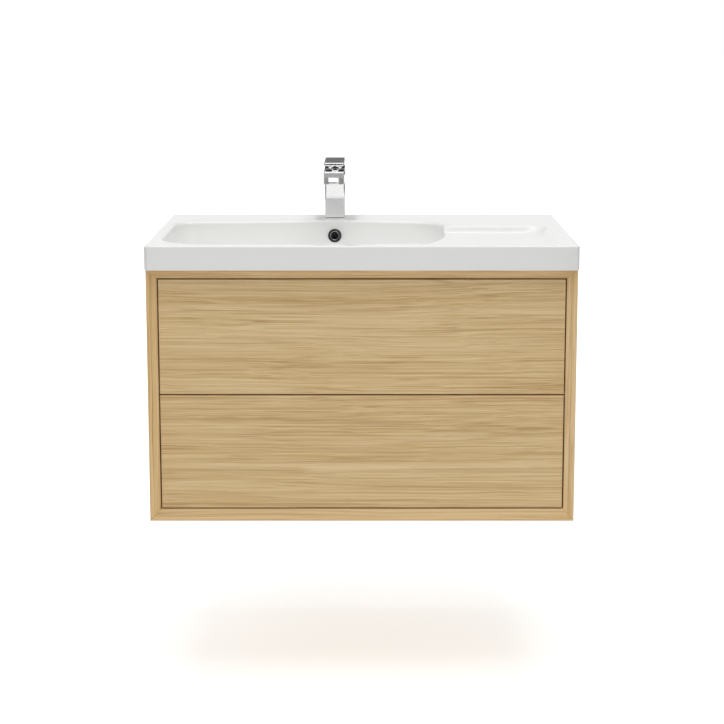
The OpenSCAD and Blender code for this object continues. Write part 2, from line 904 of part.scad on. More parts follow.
// The flask of the bottle trap with its outlet stub
module trap_body() {
    color(white_plastic) difference() {
        union() {
            translate([tap_x, waste_y, flask_bottom])
                cylinder(r = flask_r, h = flask_top - flask_bottom - 6, $fn = round_fn);
            translate([tap_x, waste_y, flask_top - 6])
                cylinder(r1 = flask_r, r2 = flask_r - 10, h = 6, $fn = round_fn);
            translate([tap_x, waste_y, outlet_z]) y_rod(collar_r, flask_r + 24);
        }
        translate([tap_x, waste_y, flask_bottom - 1])
            cylinder(r = flask_r - 2.5, h = flask_top - flask_bottom - 8, $fn = round_fn);
        translate([tap_x, waste_y, flask_bottom]) cylinder(r = pipe_r + 0.1, h = 90, $fn = round_fn);
        translate([tap_x, waste_y, outlet_z]) y_rod(pipe_r + 0.1, flask_r + 30);
    }
}

// The cup under the flask, with grip ribs, that comes off for cleaning
module trap_cup() {
    color(white_plastic) translate([tap_x, waste_y, -20]) difference() {
        union() {
            cylinder(r1 = flask_r - 4, r2 = flask_r + 3.5, h = 14, $fn = round_fn);
            translate([0, 0, 14]) cylinder(r = flask_r + 3.5, h = 36, $fn = round_fn);
            for (a = [0 : 20 : 340]) rotate(a)
                translate([flask_r + 2, -1.5, 16]) cube([3, 3, 28]);
        }
        translate([0, 0, 4]) cylinder(r1 = flask_r - 7, r2 = flask_r - 2.5, h = 34.1, $fn = round_fn);
        translate([0, 0, 38]) cylinder(r = flask_r + 0.1, h = 20, $fn = round_fn);
    }
}

// Straight tube from the flask's outlet to the wall
module trap_outlet_tube() {
    color(white_plastic) translate([tap_x, stub_end_y - 12, outlet_z]) difference() {
        y_rod(pipe_r, 12 - stub_end_y);
        translate([0, -1, 0]) y_rod(pipe_r - tube_t, 14 - stub_end_y);
    }
}

// Domed cover round the tube against the wall
module wall_rosette() {
    color(white_plastic) translate([tap_x, 0, outlet_z]) rotate([90, 0, 0]) difference() {
        rotate_extrude($fn = round_fn)
            polygon([[0, 0], [36, 0], [36, 2], [32, 5], [24, 8], [20, 14], [0, 14]]);
        translate([0, 0, -1]) cylinder(r = pipe_r + 0.3, h = 16, $fn = round_fn);
    }
}

// ---------- tap ----------

gasket_h = 1.5;
bore_r = 18;
bore_bottom = 45;
stud_r = 3.95;
aerator_y = -151;
aerator_r = 12;
stud_drop = 34;
washer_t = 3;
deck_under = rim_z - deck_t;

// Square column with a square spout, bored for the cartridge, the waterway, the aerator and the tails
module tap_body() {
    color(chrome) difference() {
        union() {
            translate([tap_x, tap_y, rim_z + gasket_h]) linear_extrude(column_h - gasket_h)
                rounded_square(column_w, column_w, column_r);
            translate([tap_x, tap_y, rim_z + spout_z + spout_t / 2]) rotate([90, 0, 0])
                linear_extrude(column_w / 2 + spout_len) rounded_square(column_w, spout_t, column_r);
        }
        translate([tap_x, tap_y, rim_z + bore_bottom]) cylinder(r = bore_r, h = 80, $fn = round_fn);
        translate([tap_x, aerator_y, rim_z + spout_z - 1])
            cylinder(r = aerator_r + 0.2, h = 13, $fn = round_fn);
        translate([tap_x, aerator_y, rim_z + spout_z + 10]) y_rod(4, -aerator_y + tap_y);
        for (x = [-inlet_off, inlet_off])
            translate([tap_x + x, tap_y + 4, rim_z]) cylinder(r = inlet_r, h = 20, $fn = round_fn);
        translate([tap_x, tap_y - 9, rim_z]) cylinder(r = stud_r + 0.05, h = 18, $fn = round_fn);
    }
}

// Threaded insert under the spout, with a ring of outlet holes
module tap_aerator() {
    color(chrome) translate([tap_x, aerator_y, rim_z + spout_z - 0.8]) difference() {
        cylinder(r = aerator_r, h = 9, $fn = round_fn);
        translate([0, 0, -1]) cylinder(r = aerator_r - 2.5, h = 3, $fn = round_fn);
        for (ring = [[0, 1], [5, 6]], i = [0 : ring[1] - 1]) rotate(i * 60)
            translate([ring[0], 0, -1]) cylinder(r = 1.6, h = 11, $fn = small_fn);
    }
}

module tap_cartridge() {
    color(white_plastic) translate([tap_x, tap_y, rim_z + bore_bottom + 0.5]) {
        cylinder(r = cartridge_r, h = 30, $fn = round_fn);
        translate([0, 0, 30]) cylinder(r = cartridge_r - 4, h = 6.5, $fn = round_fn);
    }
}

// Ring nut that holds the cartridge down in its bore
module cartridge_nut() {
    color(steel) translate([tap_x, tap_y, rim_z + bore_bottom + 31]) difference() {
        cylinder(r = bore_r - 0.1, h = 9, $fn = round_fn);
        translate([0, 0, -1]) cylinder(r = cartridge_r - 3.8, h = 11, $fn = round_fn);
        for (a = [0 : 60 : 300]) rotate(a) translate([bore_r - 2.6, -2, 6]) cube([5, 4, 4]);
    }
}

module tap_base_gasket() {
    color(rubber_black) translate([tap_x, tap_y, rim_z]) linear_extrude(gasket_h) difference() {
        rounded_square(column_w - 1, column_w - 1, column_r - 0.5);
        circle(16, $fn = round_fn);
    }
}

module tap_stud() {
    color(steel) translate([tap_x, tap_y - 9, deck_under - stud_drop])
        cylinder(r = stud_r, h = stud_drop + deck_t + 17, $fn = round_fn);
}

// Half-moon washer that clears the two tails
module tap_horseshoe_washer() {
    color(steel) translate([tap_x, tap_y, deck_under - washer_t]) linear_extrude(washer_t) difference() {
        circle(23, $fn = round_fn);
        translate([-14, -2]) square([28, 40]);
        translate([0, -9]) circle(stud_r + 0.4, $fn = small_fn);
    }
}

module tap_nut() {
    color(steel) translate([tap_x, tap_y - 9, deck_under - washer_t - 7]) difference() {
        cylinder(r = 7.5, h = 7, $fn = 6);
        translate([0, 0, -1]) cylinder(r = stud_r + 0.05, h = 9, $fn = small_fn);
    }
}

spindle_bottom = rim_z + bore_bottom + 37.3;
dome_cut = pivot_z - 6.5;
tongue_w = 6;
tongue_d = 8;
slot_r = 6.4;
fork_w = 12.6;
fork_r = 5;
neck_d = 8;
lever_z = rim_z + 117;

// The cartridge's spindle: a round base with a flat tongue, bored for the lever's pin
module tap_spindle() {
    color(steel) translate([tap_x, tap_y, 0]) difference() {
        union() {
            translate([0, 0, spindle_bottom])
                cylinder(r = 7, h = dome_cut - 3.6 - spindle_bottom, $fn = round_fn);
            slab([-tongue_w / 2, -tongue_d / 2, dome_cut - 5], [tongue_w / 2, tongue_d / 2, pivot_z + 3.5]);
        }
        translate([-6, 0, pivot_z]) x_rod(pin_r + 0.05, 12);
    }
}

// Ball cap that turns with the spindle: a slot clears the lever's fork and the pin's ends hold it
module tap_dome() {
    color(chrome) translate([tap_x, tap_y, 0]) difference() {
        intersection() {
            translate([0, 0, pivot_z]) sphere(dome_r, $fn = round_fn);
            slab([-20, -20, dome_cut], [20, 20, pivot_z + 20]);
        }
        slab([-fork_w / 2 - 0.3, -fork_r - 0.4, dome_cut - 1], [fork_w / 2 + 0.3, 10, pivot_z + 20]);
        translate([-dome_r, 0, pivot_z]) x_rod(pin_r, 2 * dome_r);
    }
}

module lever_pin() {
    color(steel) translate([tap_x - 14, tap_y, pivot_z]) x_rod(pin_r, 28);
}

// Flat lever plate on a neck whose fork straddles the spindle's tongue
module tap_lever() {
    mid_y = (lever_front + lever_rear) / 2;
    color(chrome) {
        translate([tap_x, mid_y, lever_z]) linear_extrude(lever_t)
            rounded_square(lever_w, lever_rear - lever_front, 3);
        translate([tap_x, tap_y, pivot_z]) difference() {
            union() {
                translate([-fork_w / 2, 0, 0]) x_rod(fork_r, fork_w);
                slab([-fork_w / 2, -neck_d / 2, 0], [fork_w / 2, neck_d / 2, lever_z - pivot_z + 1]);
            }
            translate([-tongue_w / 2 - 0.3, 0, 0]) x_rod(slot_r, tongue_w + 0.6);
            translate([-fork_w, 0, 0]) x_rod(pin_r + 0.05, 2 * fork_w);
        }
    }
}

side_panel_left();
side_panel_right();
bottom_panel();
front_rail();
rear_rail_upper();
rear_rail_lower();
cam_locks();
dowels();
hanger_bracket_left();
hanger_bracket_right();
bracket_screws();
cabinet_rails();
latch_housings();
basin();
overflow_ring();
waste_flange();
waste_gasket();
waste_nut();
waste_plug();
trap_inlet_tube();
trap_nuts();
trap_body();
trap_cup();
trap_outlet_tube();
wall_rosette();
tap_body();
tap_aerator();
tap_cartridge();
cartridge_nut();
tap_base_gasket();
tap_stud();
tap_horseshoe_washer();
tap_nut();
tap_spindle();
tap_dome();
lever_pin();
tap_lever();
upper_front();
upper_side_left();
upper_side_right();
upper_back_left();
upper_back_right();
upper_trap_surround();
upper_bottom();
upper_drawer_rails();
upper_front_brackets();
upper_middle_rails();
upper_ball_cages();
upper_latch_plungers();
lower_front();
lower_side_left();
lower_side_right();
lower_back();
lower_bottom();
lower_drawer_rails();
lower_front_brackets();
lower_middle_rails();
lower_ball_cages();
lower_latch_plungers();
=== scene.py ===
import json
import math

import bmesh
import bpy
from mathutils import Matrix, Vector
from mathutils.geometry import delaunay_2d_cdt

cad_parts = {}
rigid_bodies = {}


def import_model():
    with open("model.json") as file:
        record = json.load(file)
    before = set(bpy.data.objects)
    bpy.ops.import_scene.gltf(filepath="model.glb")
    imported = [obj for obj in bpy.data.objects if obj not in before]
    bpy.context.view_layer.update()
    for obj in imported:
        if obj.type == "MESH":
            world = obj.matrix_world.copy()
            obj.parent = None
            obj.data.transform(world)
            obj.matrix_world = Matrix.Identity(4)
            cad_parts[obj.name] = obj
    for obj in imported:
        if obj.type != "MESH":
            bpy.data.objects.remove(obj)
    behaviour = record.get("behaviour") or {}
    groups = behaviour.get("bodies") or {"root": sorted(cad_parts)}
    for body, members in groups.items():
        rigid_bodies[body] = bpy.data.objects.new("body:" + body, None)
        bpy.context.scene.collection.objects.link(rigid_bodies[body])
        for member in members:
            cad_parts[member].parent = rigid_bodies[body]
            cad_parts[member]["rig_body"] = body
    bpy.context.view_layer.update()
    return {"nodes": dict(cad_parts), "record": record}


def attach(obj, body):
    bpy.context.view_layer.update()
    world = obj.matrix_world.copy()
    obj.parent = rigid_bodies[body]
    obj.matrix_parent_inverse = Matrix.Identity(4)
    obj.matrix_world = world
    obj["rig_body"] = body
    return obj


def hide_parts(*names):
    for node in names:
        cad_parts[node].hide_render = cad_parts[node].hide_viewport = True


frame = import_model()
NODES = frame["nodes"]
MM = 0.001


def body_of(node):
    """The body that a CAD node rides on."""
    return NODES[node]["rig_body"]


# ---------- materials ----------

def new_material(name):
    """A material with a plain shader, its node tree and the shader."""
    m = bpy.data.materials.new(name)
    m.use_nodes = True
    t = m.node_tree
    t.nodes.clear()
    out = t.nodes.new("ShaderNodeOutputMaterial")
    shader = t.nodes.new("ShaderNodeBsdfPrincipled")
    t.links.new(shader.outputs[0], out.inputs[0])
    return m, t, shader


class Graph:
    """Short hands for wiring a node tree."""

    def __init__(self, tree):
        self.t = tree

    def node(self, kind, **props):
        n = self.t.nodes.new(kind)
        for k, v in props.items():
            setattr(n, k, v)
        return n

    def link(self, a, b):
        self.t.links.new(a, b)

    def coords(self, scale=(1, 1, 1), move=(0, 0, 0)):
        tc = self.node("ShaderNodeTexCoord")
        mp = self.node("ShaderNodeMapping")
        mp.inputs["Scale"].default_value = scale
        mp.inputs["Location"].default_value = move
        self.link(tc.outputs["Object"], mp.inputs["Vector"])
        return mp.outputs[0]

    def noise(self, vector, detail=3.0, rough=0.5):
        n = self.node("ShaderNodeTexNoise")
        self.link(vector, n.inputs["Vector"])
        n.inputs["Scale"].default_value = 1.0
        n.inputs["Detail"].default_value = detail
        n.inputs["Roughness"].default_value = rough
        return n.outputs["Fac"]

    def math(self, op, a, b=None):
        n = self.node("ShaderNodeMath", operation=op)
        for i, v in enumerate((a, b)):
            if v is None:
                continue
            if isinstance(v, (int, float)):
                n.inputs[i].default_value = v
            else:
                self.link(v, n.inputs[i])
        return n.outputs[0]

    def fit(self, value, lo, hi, to_lo=0.0, to_hi=1.0, smooth=False):
        n = self.node("ShaderNodeMapRange", clamp=True)
        n.interpolation_type = "SMOOTHSTEP" if smooth else "LINEAR"
        self.link(value, n.inputs["Value"])
        for key, v in (("From Min", lo), ("From Max", hi), ("To Min", to_lo), ("To Max", to_hi)):
            n.inputs[key].default_value = v
        return n.outputs[0]

    def ramp(self, value, stops):
        n = self.node("ShaderNodeValToRGB")
        self.link(value, n.inputs[0])
        r = n.color_ramp
        r.interpolation = "LINEAR"
        while len(r.elements) < len(stops):
            r.elements.new(0.5)
        for e, (p, c) in zip(r.elements, stops):
            e.position = p
            e.color = (*c, 1.0)
        return n.outputs[0]

    def mix(self, factor, a, b, blend="MIX"):
        n = self.node("ShaderNodeMix", data_type="RGBA", blend_type=blend)
        for i, v in ((0, factor), (6, a), (7, b)):
            if isinstance(v, (int, float)):
                n.inputs[i].default_value = v
            elif isinstance(v, tuple):
                n.inputs[i].default_value = (*v, 1.0)
            else:
                self.link(v, n.inputs[i])
        return n.outputs[2]

    def bump(self, height, strength, distance):
        n = self.node("ShaderNodeBump")
        n.inputs["Strength"].default_value = strength
        n.inputs["Distance"].default_value = distance
        self.link(height, n.inputs["Height"])
        return n.outputs[0]


def srgb(r, g, b):
    """Linear colour from 0-255 display values."""
    def one(v):
        v /= 255.0
        return v / 12.92 if v <= 0.04045 else ((v + 0.055) / 1.055) ** 2.4
    return (one(r), one(g), one(b))


# Layers of the grain: noises per metre along and across it, offset, detail, roughness
GRAIN = {
    "bands": (0.9, 30.0, 3.1, 2.0, 0.55),
    "growth": (1.1, 250.0, 5.3, 3.0, 0.65),
    "fine": (2.2, 480.0, 7.7, 2.0, 0.7),
    "dashes": (4.5, 640.0, 11.9, 1.0, 0.5),
    "rings": (0.7, 46.0, 17.3, 2.0, 0.5),
}
# How far the lines wander across the grain, in metres: a slow wave and a small one
WANDER, WOBBLE = 0.034, 0.006
# What each layer adds to the tone, and the wood's colours from dark to light
TONE_SHARES = {"bands": 0.20, "growth": 0.28, "fine": 0.42, "fibre": 0.10}
OAK_TONES = [(0.37, srgb(198, 163, 110)), (0.45, srgb(216, 185, 134)),
             (0.52, srgb(226, 197, 149)), (0.62, srgb(238, 212, 168))]
STREAK, RING, PORE = srgb(164, 118, 68), srgb(160, 116, 66), srgb(152, 114, 70)
STREAK_SHARE, RING_SHARE, PORE_SHARE = 0.46, 0.28, 0.30


def oak(name, axis, shift, tone_and_painted_light=(1.045, 1.045, 1.03)):
    """Oak veneer whose grain runs along one axis: bands, wavy growth lines, dashes, fibres, pores, times
    a tint that on some boards is painted light and shade.
    """
    m, t, s = new_material(name)
    g = Graph(t)

    def scaled(along, across):
        scale = [across] * 3
        scale["XYZ".index(axis)] = along
        return scale

    def still(along, across, **kw):
        return g.noise(g.coords(scale=scaled(along, across), move=shift), **kw)

    # the growth lines wander: slow noises push the place across the grain
    wander = g.math("MULTIPLY", g.math("SUBTRACT", still(1.0, 3.6, detail=1.5), 0.5), WANDER)
    wobble = g.math("MULTIPLY", g.math("SUBTRACT", still(5.0, 26.0, detail=2.0), 0.5), WOBBLE)
    wander = g.math("ADD", wander, wobble)
    push = g.node("ShaderNodeCombineXYZ")
    for i, a in enumerate("XYZ"):
        if a != axis:
            g.link(wander, push.inputs[i])
    tc = g.node("ShaderNodeTexCoord")
    moved = g.node("ShaderNodeVectorMath", operation="ADD")
    g.link(tc.outputs["Object"], moved.inputs[0])
    g.link(push.outputs[0], moved.inputs[1])

    def lines(along, across, offset, detail, rough):
        mp = g.node("ShaderNodeMapping")
        mp.inputs["Scale"].default_value = scaled(along, across)
        mp.inputs["Location"].default_value = [v + offset for v in shift]
        g.link(moved.outputs[0], mp.inputs["Vector"])
        return g.noise(mp.outputs[0], detail, rough)

    layer = {part: lines(*sizes) for part, sizes in GRAIN.items()}
    layer["fibre"] = still(13.0, 900.0, detail=2.0, rough=0.6)
    pores = still(30.0, 1500.0, detail=1.0)

    tone = 0.0
    for part, share in TONE_SHARES.items():
        tone = g.math("ADD", tone, g.math("MULTIPLY", layer[part], share))
    colour = g.ramp(tone, OAK_TONES)
    # short dashes in the darker bands
    streak = g.math("MULTIPLY", g.fit(layer["dashes"], 0.56, 0.68), g.fit(layer["bands"], 0.70, 0.40))
    colour = g.mix(g.math("MULTIPLY", streak, STREAK_SHARE), colour, STREAK)
    # thin long lines where a slow noise crosses its middle
    edge = g.math("ABSOLUTE", g.math("SUBTRACT", layer["rings"], 0.5))
    ring = g.math("MULTIPLY", g.fit(edge, 0.024, 0.008), g.fit(layer["growth"], 0.62, 0.46))
    colour = g.mix(g.math("MULTIPLY", ring, RING_SHARE), colour, RING)
    # pores in the darker growth lines
    pore = g.math("MULTIPLY", g.fit(pores, 0.62, 0.74), g.fit(layer["growth"], 0.58, 0.42))
    colour = g.mix(g.math("MULTIPLY", pore, PORE_SHARE), colour, PORE)
    # the tint multiplies the colour: an even tone, and painted light and shade on the side boards and the
    # bottom
    colour = g.mix(1.0, colour, tone_and_painted_light, "MULTIPLY")
    g.link(colour, s.inputs["Base Color"])
    g.link(g.fit(layer["fine"], 0.3, 0.7, 0.50, 0.62), s.inputs["Roughness"])
    s.inputs["Specular IOR Level"].default_value = 0.32
    height = g.math("ADD", g.math("MULTIPLY", layer["fibre"], 0.5), g.math("MULTIPLY", pore, -0.8))
    height = g.math("ADD", height, g.math("MULTIPLY", layer["growth"], 0.6))
    g.link(g.bump(height, 0.25, 0.00025), s.inputs["Normal"])
    return m


def board_material(name, colour):
    """Melamine-faced board: a faint linen texture with slight tone changes."""
    m, t, s = new_material(name)
    g = Graph(t)
    warp = g.noise(g.coords(scale=(1600, 90, 90)), detail=2.0)
    weft = g.noise(g.coords(scale=(90, 1600, 1600), move=(3, 1, 2)), detail=2.0)
    cloud = g.noise(g.coords(scale=(4, 4, 4)), detail=3.0)
    weave = g.math("ADD", warp, weft)
    base = g.mix(g.fit(cloud, 0.3, 0.7), tuple(v * 0.94 for v in colour), colour)
    base = g.mix(g.fit(weave, 0.8, 1.2, 0.0, 0.25), base, tuple(v * 0.86 for v in colour))
    g.link(base, s.inputs["Base Color"])
    g.link(g.fit(weave, 0.8, 1.2, 0.42, 0.55), s.inputs["Roughness"])
    g.link(g.bump(weave, 0.15, 0.0001), s.inputs["Normal"])
    return m


def metal_material(name, colour, rough, spread, streak=(300, 300, 300), bump=0.0):
    """A metal whose roughness and tone change a little along its streaks; brushed where it has a bump."""
    m, t, s = new_material(name)
    g = Graph(t)
    s.inputs["Metallic"].default_value = 1.0
    brushed = g.noise(g.coords(scale=streak), detail=3.0)
    cloud = g.noise(g.coords(scale=(30, 30, 30), move=(1, 2, 3)), detail=2.0)
    both = g.math("ADD", g.math("MULTIPLY", brushed, 0.5), g.math("MULTIPLY", cloud, 0.5))
    base = g.mix(g.fit(both, 0.35, 0.65), tuple(v * 0.93 for v in colour), colour)
    g.link(base, s.inputs["Base Color"])
    least = max(rough - spread, 0.01)
    g.link(g.fit(both, 0.35, 0.65, least, rough + spread), s.inputs["Roughness"])
    if bump:
        g.link(g.bump(brushed, bump, 0.00005), s.inputs["Normal"])
    return m


def plastic_material(name, colour, rough):
    """A moulded surface with a fine skin and slow changes of tone."""
    m, t, s = new_material(name)
    g = Graph(t)
    skin = g.noise(g.coords(scale=(900.0, 900.0, 900.0)), detail=2.0)
    cloud = g.noise(g.coords(scale=(12, 12, 12), move=(5, 1, 2)), detail=2.0)
    base = g.mix(g.fit(cloud, 0.3, 0.7), tuple(v * 0.95 for v in colour), colour)
    g.link(base, s.inputs["Base Color"])
    g.link(g.fit(skin, 0.3, 0.7, rough - 0.04, rough + 0.05), s.inputs["Roughness"])
    g.link(g.bump(skin, 0.08, 0.00006), s.inputs["Normal"])
    return m


def glaze_material(name, colour, rough, coat):
    """A fired glaze: no grain, only a very slow change of tone."""
    m, t, s = new_material(name)
    g = Graph(t)
    cloud = g.noise(g.coords(scale=(5, 5, 5), move=(5, 1, 2)), detail=0.0)
    g.link(g.mix(cloud, tuple(v * 0.985 for v in colour), colour), s.inputs["Base Color"])
    g.link(g.fit(cloud, 0.0, 1.0, rough - 0.02, rough + 0.02), s.inputs["Roughness"])
    s.inputs["Coat Weight"].default_value = coat
    s.inputs["Coat Roughness"].default_value = 0.08
    return m


# Each board has its own piece of grain, and a tint; on the side boards and the bottom the tint is painted
# light and shade, the sides painted lighter and the bottom darker, as the light falls on them
OAK = {
    "fronts": oak("oak_fronts", "X", (0.31, 0.12, 0.77)),
    "lower": oak("oak_lower_front", "X", (2.43, 1.12, 4.19)),
    "left": oak("oak_left_side", "Z", (5.10, 3.30, 0.64), (1.15, 1.14, 1.10)),
    "right": oak("oak_right_side", "Z", (7.72, 1.90, 6.35), (1.15, 1.18, 1.24)),
    "bottom": oak("oak_bottom", "X", (9.40, 2.20, 3.10), (0.98, 0.97, 0.93)),
    "rail": oak("oak_top_rail", "X", (4.60, 6.10, 8.45)),
}
BOARD = board_material("drawer_board", srgb(226, 224, 219))
RAIL_BOARD = board_material("rail_board", srgb(214, 206, 194))
BEECH = oak("beech_dowel", "X", (1.0, 1.0, 1.0))
ZINC = metal_material("zinc_plate", (0.60, 0.61, 0.63), 0.36, 0.08, (60, 900, 900), 0.1)
CHROME = metal_material("chrome", (0.92, 0.925, 0.935), 0.022, 0.01)
# painted reflection: chrome made near black for the overflow's bezel, standing in for the dark it would
# mirror
CHROME_PAINTED_DARK = metal_material("chrome_painted_dark_reflection", (0.045, 0.045, 0.05), 0.12, 0.04)
ENAMEL = glaze_material("white_glaze", srgb(242, 242, 240), 0.30, 0.25)
PLASTIC = plastic_material("white_plastic", srgb(236, 236, 233), 0.38)
DARK = plastic_material("dark_plastic", srgb(70, 70, 74), 0.42)
# painted shade: a dark grey for the inside of the overflow's duct
DUCT_PAINTED_SHADE = plastic_material("duct_painted_shade", srgb(72, 70, 67), 0.8)
SILICONE = plastic_material("grey_silicone", srgb(176, 176, 173), 0.5)
RUBBER = plastic_material("black_rubber", srgb(28, 28, 29), 0.62)

# ---------- building helpers ----------

def finish_mesh(me, sharp):
    """Smooth faces, with edges sharper than an angle in degrees kept."""
    for p in me.polygons:
        p.use_smooth = True
    me.set_sharp_from_angle(angle=math.radians(sharp))


PLACED = []
# Points nearer than this, in metres, are one point
WELD = 2e-6
# Edges flatter than this only divide a flat face
FLAT = math.radians(0.5)


def place(name, me, body, material, nodes, sharp=32):
    """Makes a piece of a mesh, on its body and for its nodes."""
    me.materials.clear()
    me.materials.append(material)
    finish_mesh(me, sharp)
    ob = bpy.data.objects.new(name, me)
    bpy.context.scene.collection.objects.link(ob)
    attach(ob, body)
    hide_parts(*nodes)
    PLACED.append(ob)
    return ob


def keep_flats_flat():
    """Gives flat faces their own direction beside the rounded edges, as on the real pieces."""
    for ob in PLACED:
        weigh = ob.modifiers.new("weigh", "WEIGHTED_NORMAL")
        weigh.keep_sharp = True
        weigh.weight = 80
    graph = bpy.context.evaluated_depsgraph_get()
    for ob in PLACED:
        me = bpy.data.meshes.new_from_object(
            ob.evaluated_get(graph), preserve_all_data_layers=True, depsgraph=graph)
        ob.modifiers.clear()
        me.name = ob.name
        ob.data = me


def mesh_from(name, verts, faces):
    """A valid mesh of vertices in metres and faces of vertex numbers."""
    me = bpy.data.meshes.new(name)
    me.from_pydata([tuple(v) for v in verts], [], faces)
    me.validate()
    return me


def cleaned(me):
    """The mesh with its double points joined and its faces turned outwards."""
    bm = bmesh.new()
    bm.from_mesh(me)
    bmesh.ops.remove_doubles(bm, verts=bm.verts, dist=WELD)
    bmesh.ops.recalc_face_normals(bm, faces=bm.faces)
    bm.to_mesh(me)
    bm.free()
    return me


def softened(node, width, material):
    """A CAD node's form with its long edges eased by a small radius."""
    shortest, sharp = 0.006, math.radians(30)
    bm = bmesh.new()
    bm.from_mesh(NODES[node].data)
    bmesh.ops.remove_doubles(bm, verts=bm.verts, dist=WELD)
    bmesh.ops.dissolve_limit(bm, angle_limit=FLAT, verts=bm.verts, edges=bm.edges)
    edges = [e for e in bm.edges if len(e.link_faces) == 2
             and e.calc_face_angle(0.0) > sharp and e.calc_length() > shortest]
    bmesh.ops.bevel(bm, geom=edges, offset=width, offset_type="OFFSET", segments=2,
                    profile=0.5, affect="EDGES", clamp_overlap=True)
    me = bpy.data.meshes.new(node + "_eased")
    bm.to_mesh(me)
    bm.free()
    place(node + "_eased", me, body_of(node), material, [node])


def ring_faces(rows):
    """Quads between successive rings of vertex numbers."""
    faces = []
    for a, b in zip(rows, rows[1:]):
        n = len(a)
        for i in range(n):
            k = (i + 1) % n
            corners = list(dict.fromkeys((a[i], a[k], b[k], b[i])))
            if len(corners) > 2:
                faces.append(corners)
    return faces


# A length of a profile, in mm, that counts as none
NEGLIGIBLE = 1e-6


def lathe(profile, centre, axis, n):
    """A mesh of revolution in n steps; the profile is a closed or axis-to-axis list of (radius, height)
    in mm."""
    verts, rows = [], []
    for r, h in profile:
        if r < NEGLIGIBLE:
            verts.append((0.0, 0.0, h))
            rows.append([len(verts) - 1] * n)
            continue
        rows.append(list(range(len(verts), len(verts) + n)))
        turns = [2 * math.pi * i / n for i in range(n)]
        verts += [(r * math.cos(a), r * math.sin(a), h) for a in turns]
    if profile[0][0] > NEGLIGIBLE:
        rows.append(rows[0])
    turn = {"Z": Matrix.Identity(3), "Y": Matrix.Rotation(-math.pi / 2, 3, "X"),
            "X": Matrix.Rotation(math.pi / 2, 3, "Y")}[axis]
    pts = [(turn @ Vector(v) + Vector(centre)) * MM for v in verts]
    return cleaned(mesh_from("lathe", pts, ring_faces(rows)))


def rounded(points, radius, steps):
    """A profile with its corners rounded; a point may carry its own radius as a third number."""
    out = []
    n = len(points)
    for i, p in enumerate(points):
        r = p[2] if len(p) > 2 else radius
        here = Vector(p[:2])
        before, after = Vector(points[i - 1][:2]), Vector(points[(i + 1) % n][:2])
        a, b = before - here, after - here
        if r <= 0 or a.length < NEGLIGIBLE or b.length < NEGLIGIBLE:
            out.append(tuple(here))
            continue
        r = min(r, a.length * 0.48, b.length * 0.48)
        start, end = here + a.normalized() * r, here + b.normalized() * r
        for k in range(steps + 1):
            t = k / steps
            q = start.lerp(here, t).lerp(here.lerp(end, t), t)
            out.append((q.x, q.y))
    return out


# ---------- basin ----------

# Sizes in mm; heights are in the shared frame, RIM the basin's top and UNDER its apron's lower edge
RIM, HALF_WIDTH, BASIN_D, UNDER = 286.0, 402.0, 465.0, 240.0
# Radii of the bowl's lip and of the deck's edge; thickness of the deck, the casting and the apron
LIP, EDGE, DECK_T, CAST_T, APRON_T = 6.0, 3.5, 14.0, 10.0, 12.0
# The bowl's outline: its box, y from the front edge, and the radii of its corners
BOWL = dict(x0=-380.0, x1=164.0, y0=26.0, y1=348.0)
LEFT_FRONT_R, LEFT_REAR_R, RIGHT_REAR_R = 90.0, 40.0, 66.0
SWEEP_X, SWEEP_Y = 170.0, 248.0
# Its rear edge swells back behind the tap
SWELL, SWELL_X, SWELL_W = 20.0, -60.0, 125.0
# How far its walls lean in from the lip to the floor, and the lean's power
SIDE_BLEND, FRONT_BLEND, REAR_BLEND, LEAN = 62.0, 140.0, 62.0, 0.8
BOWL_FLOOR, FALL = 166.0, 5.0
BOWL_DEPTH = RIM - BOWL_FLOOR
TAP_X, TAP_Y, TAP_HOLE_R = -57.0, -41.0, 17.5
# The waste: its place from the front edge, the flange's seat, the bore and the boss below
WASTE_IN = 232.0
WASTE_Y = -BASIN_D + WASTE_IN
SEAT_R, SEAT_SINK, BORE_R = 31.9, 3.2, 22.5
BOSS_R, BOSS_Z = 34.0, 142.0
SHELF_DEPTH = 12.0
SHELF = dict(x0=-40.0, x1=374.0, y0=28.0, y1=277.0, front_r=26.0, rear_r=30.0, left_r=2.0)
# Widths of the shelf's slopes to the right, in front and behind
SLOPE_RIGHT, SLOPE_FRONT, SLOPE_REAR = 27.0, 10.0, 8.0
# Distances from the shelf between which the deck's underside rises
SHELF_NEAR, SHELF_FAR = 6.0, 8.0
OVERFLOW_Z, OVERFLOW_Y = RIM - 31.0, -BASIN_D + 363.0


def arc(cx, cy, rx, ry, start, n, last=False):
    """A quarter of an ellipse in n steps from a start angle, with or without its last point."""
    steps = n + 1 if last else n
    return [(cx + rx * math.cos(math.radians(start + 90 * i / n)),
             cy + ry * math.sin(math.radians(start + 90 * i / n))) for i in range(steps)]


def line(a, b, n):
    """A straight run of n points, without its last."""
    return [(a[0] + (b[0] - a[0]) * i / n, a[1] + (b[1] - a[1]) * i / n) for i in range(n)]


def swell(x):
    """How much further back the bowl's rear edge lies at x."""
    return SWELL * math.exp(-((x - SWELL_X) / SWELL_W) ** 2)


def box_plan(x, y0, y1, front_r, rear_r, front_n, rear_n):
    """A rounded box from -x to x, seen from above."""
    pts = arc(front_r - x, y0 + front_r, front_r, front_r, 180, front_n, True)
    pts += arc(x - front_r, y0 + front_r, front_r, front_r, 270, front_n, True)
    pts += arc(x - rear_r, y1 - rear_r, rear_r, rear_r, 0, rear_n, True)
    return pts + arc(rear_r - x, y1 - rear_r, rear_r, rear_r, 90, rear_n, True)


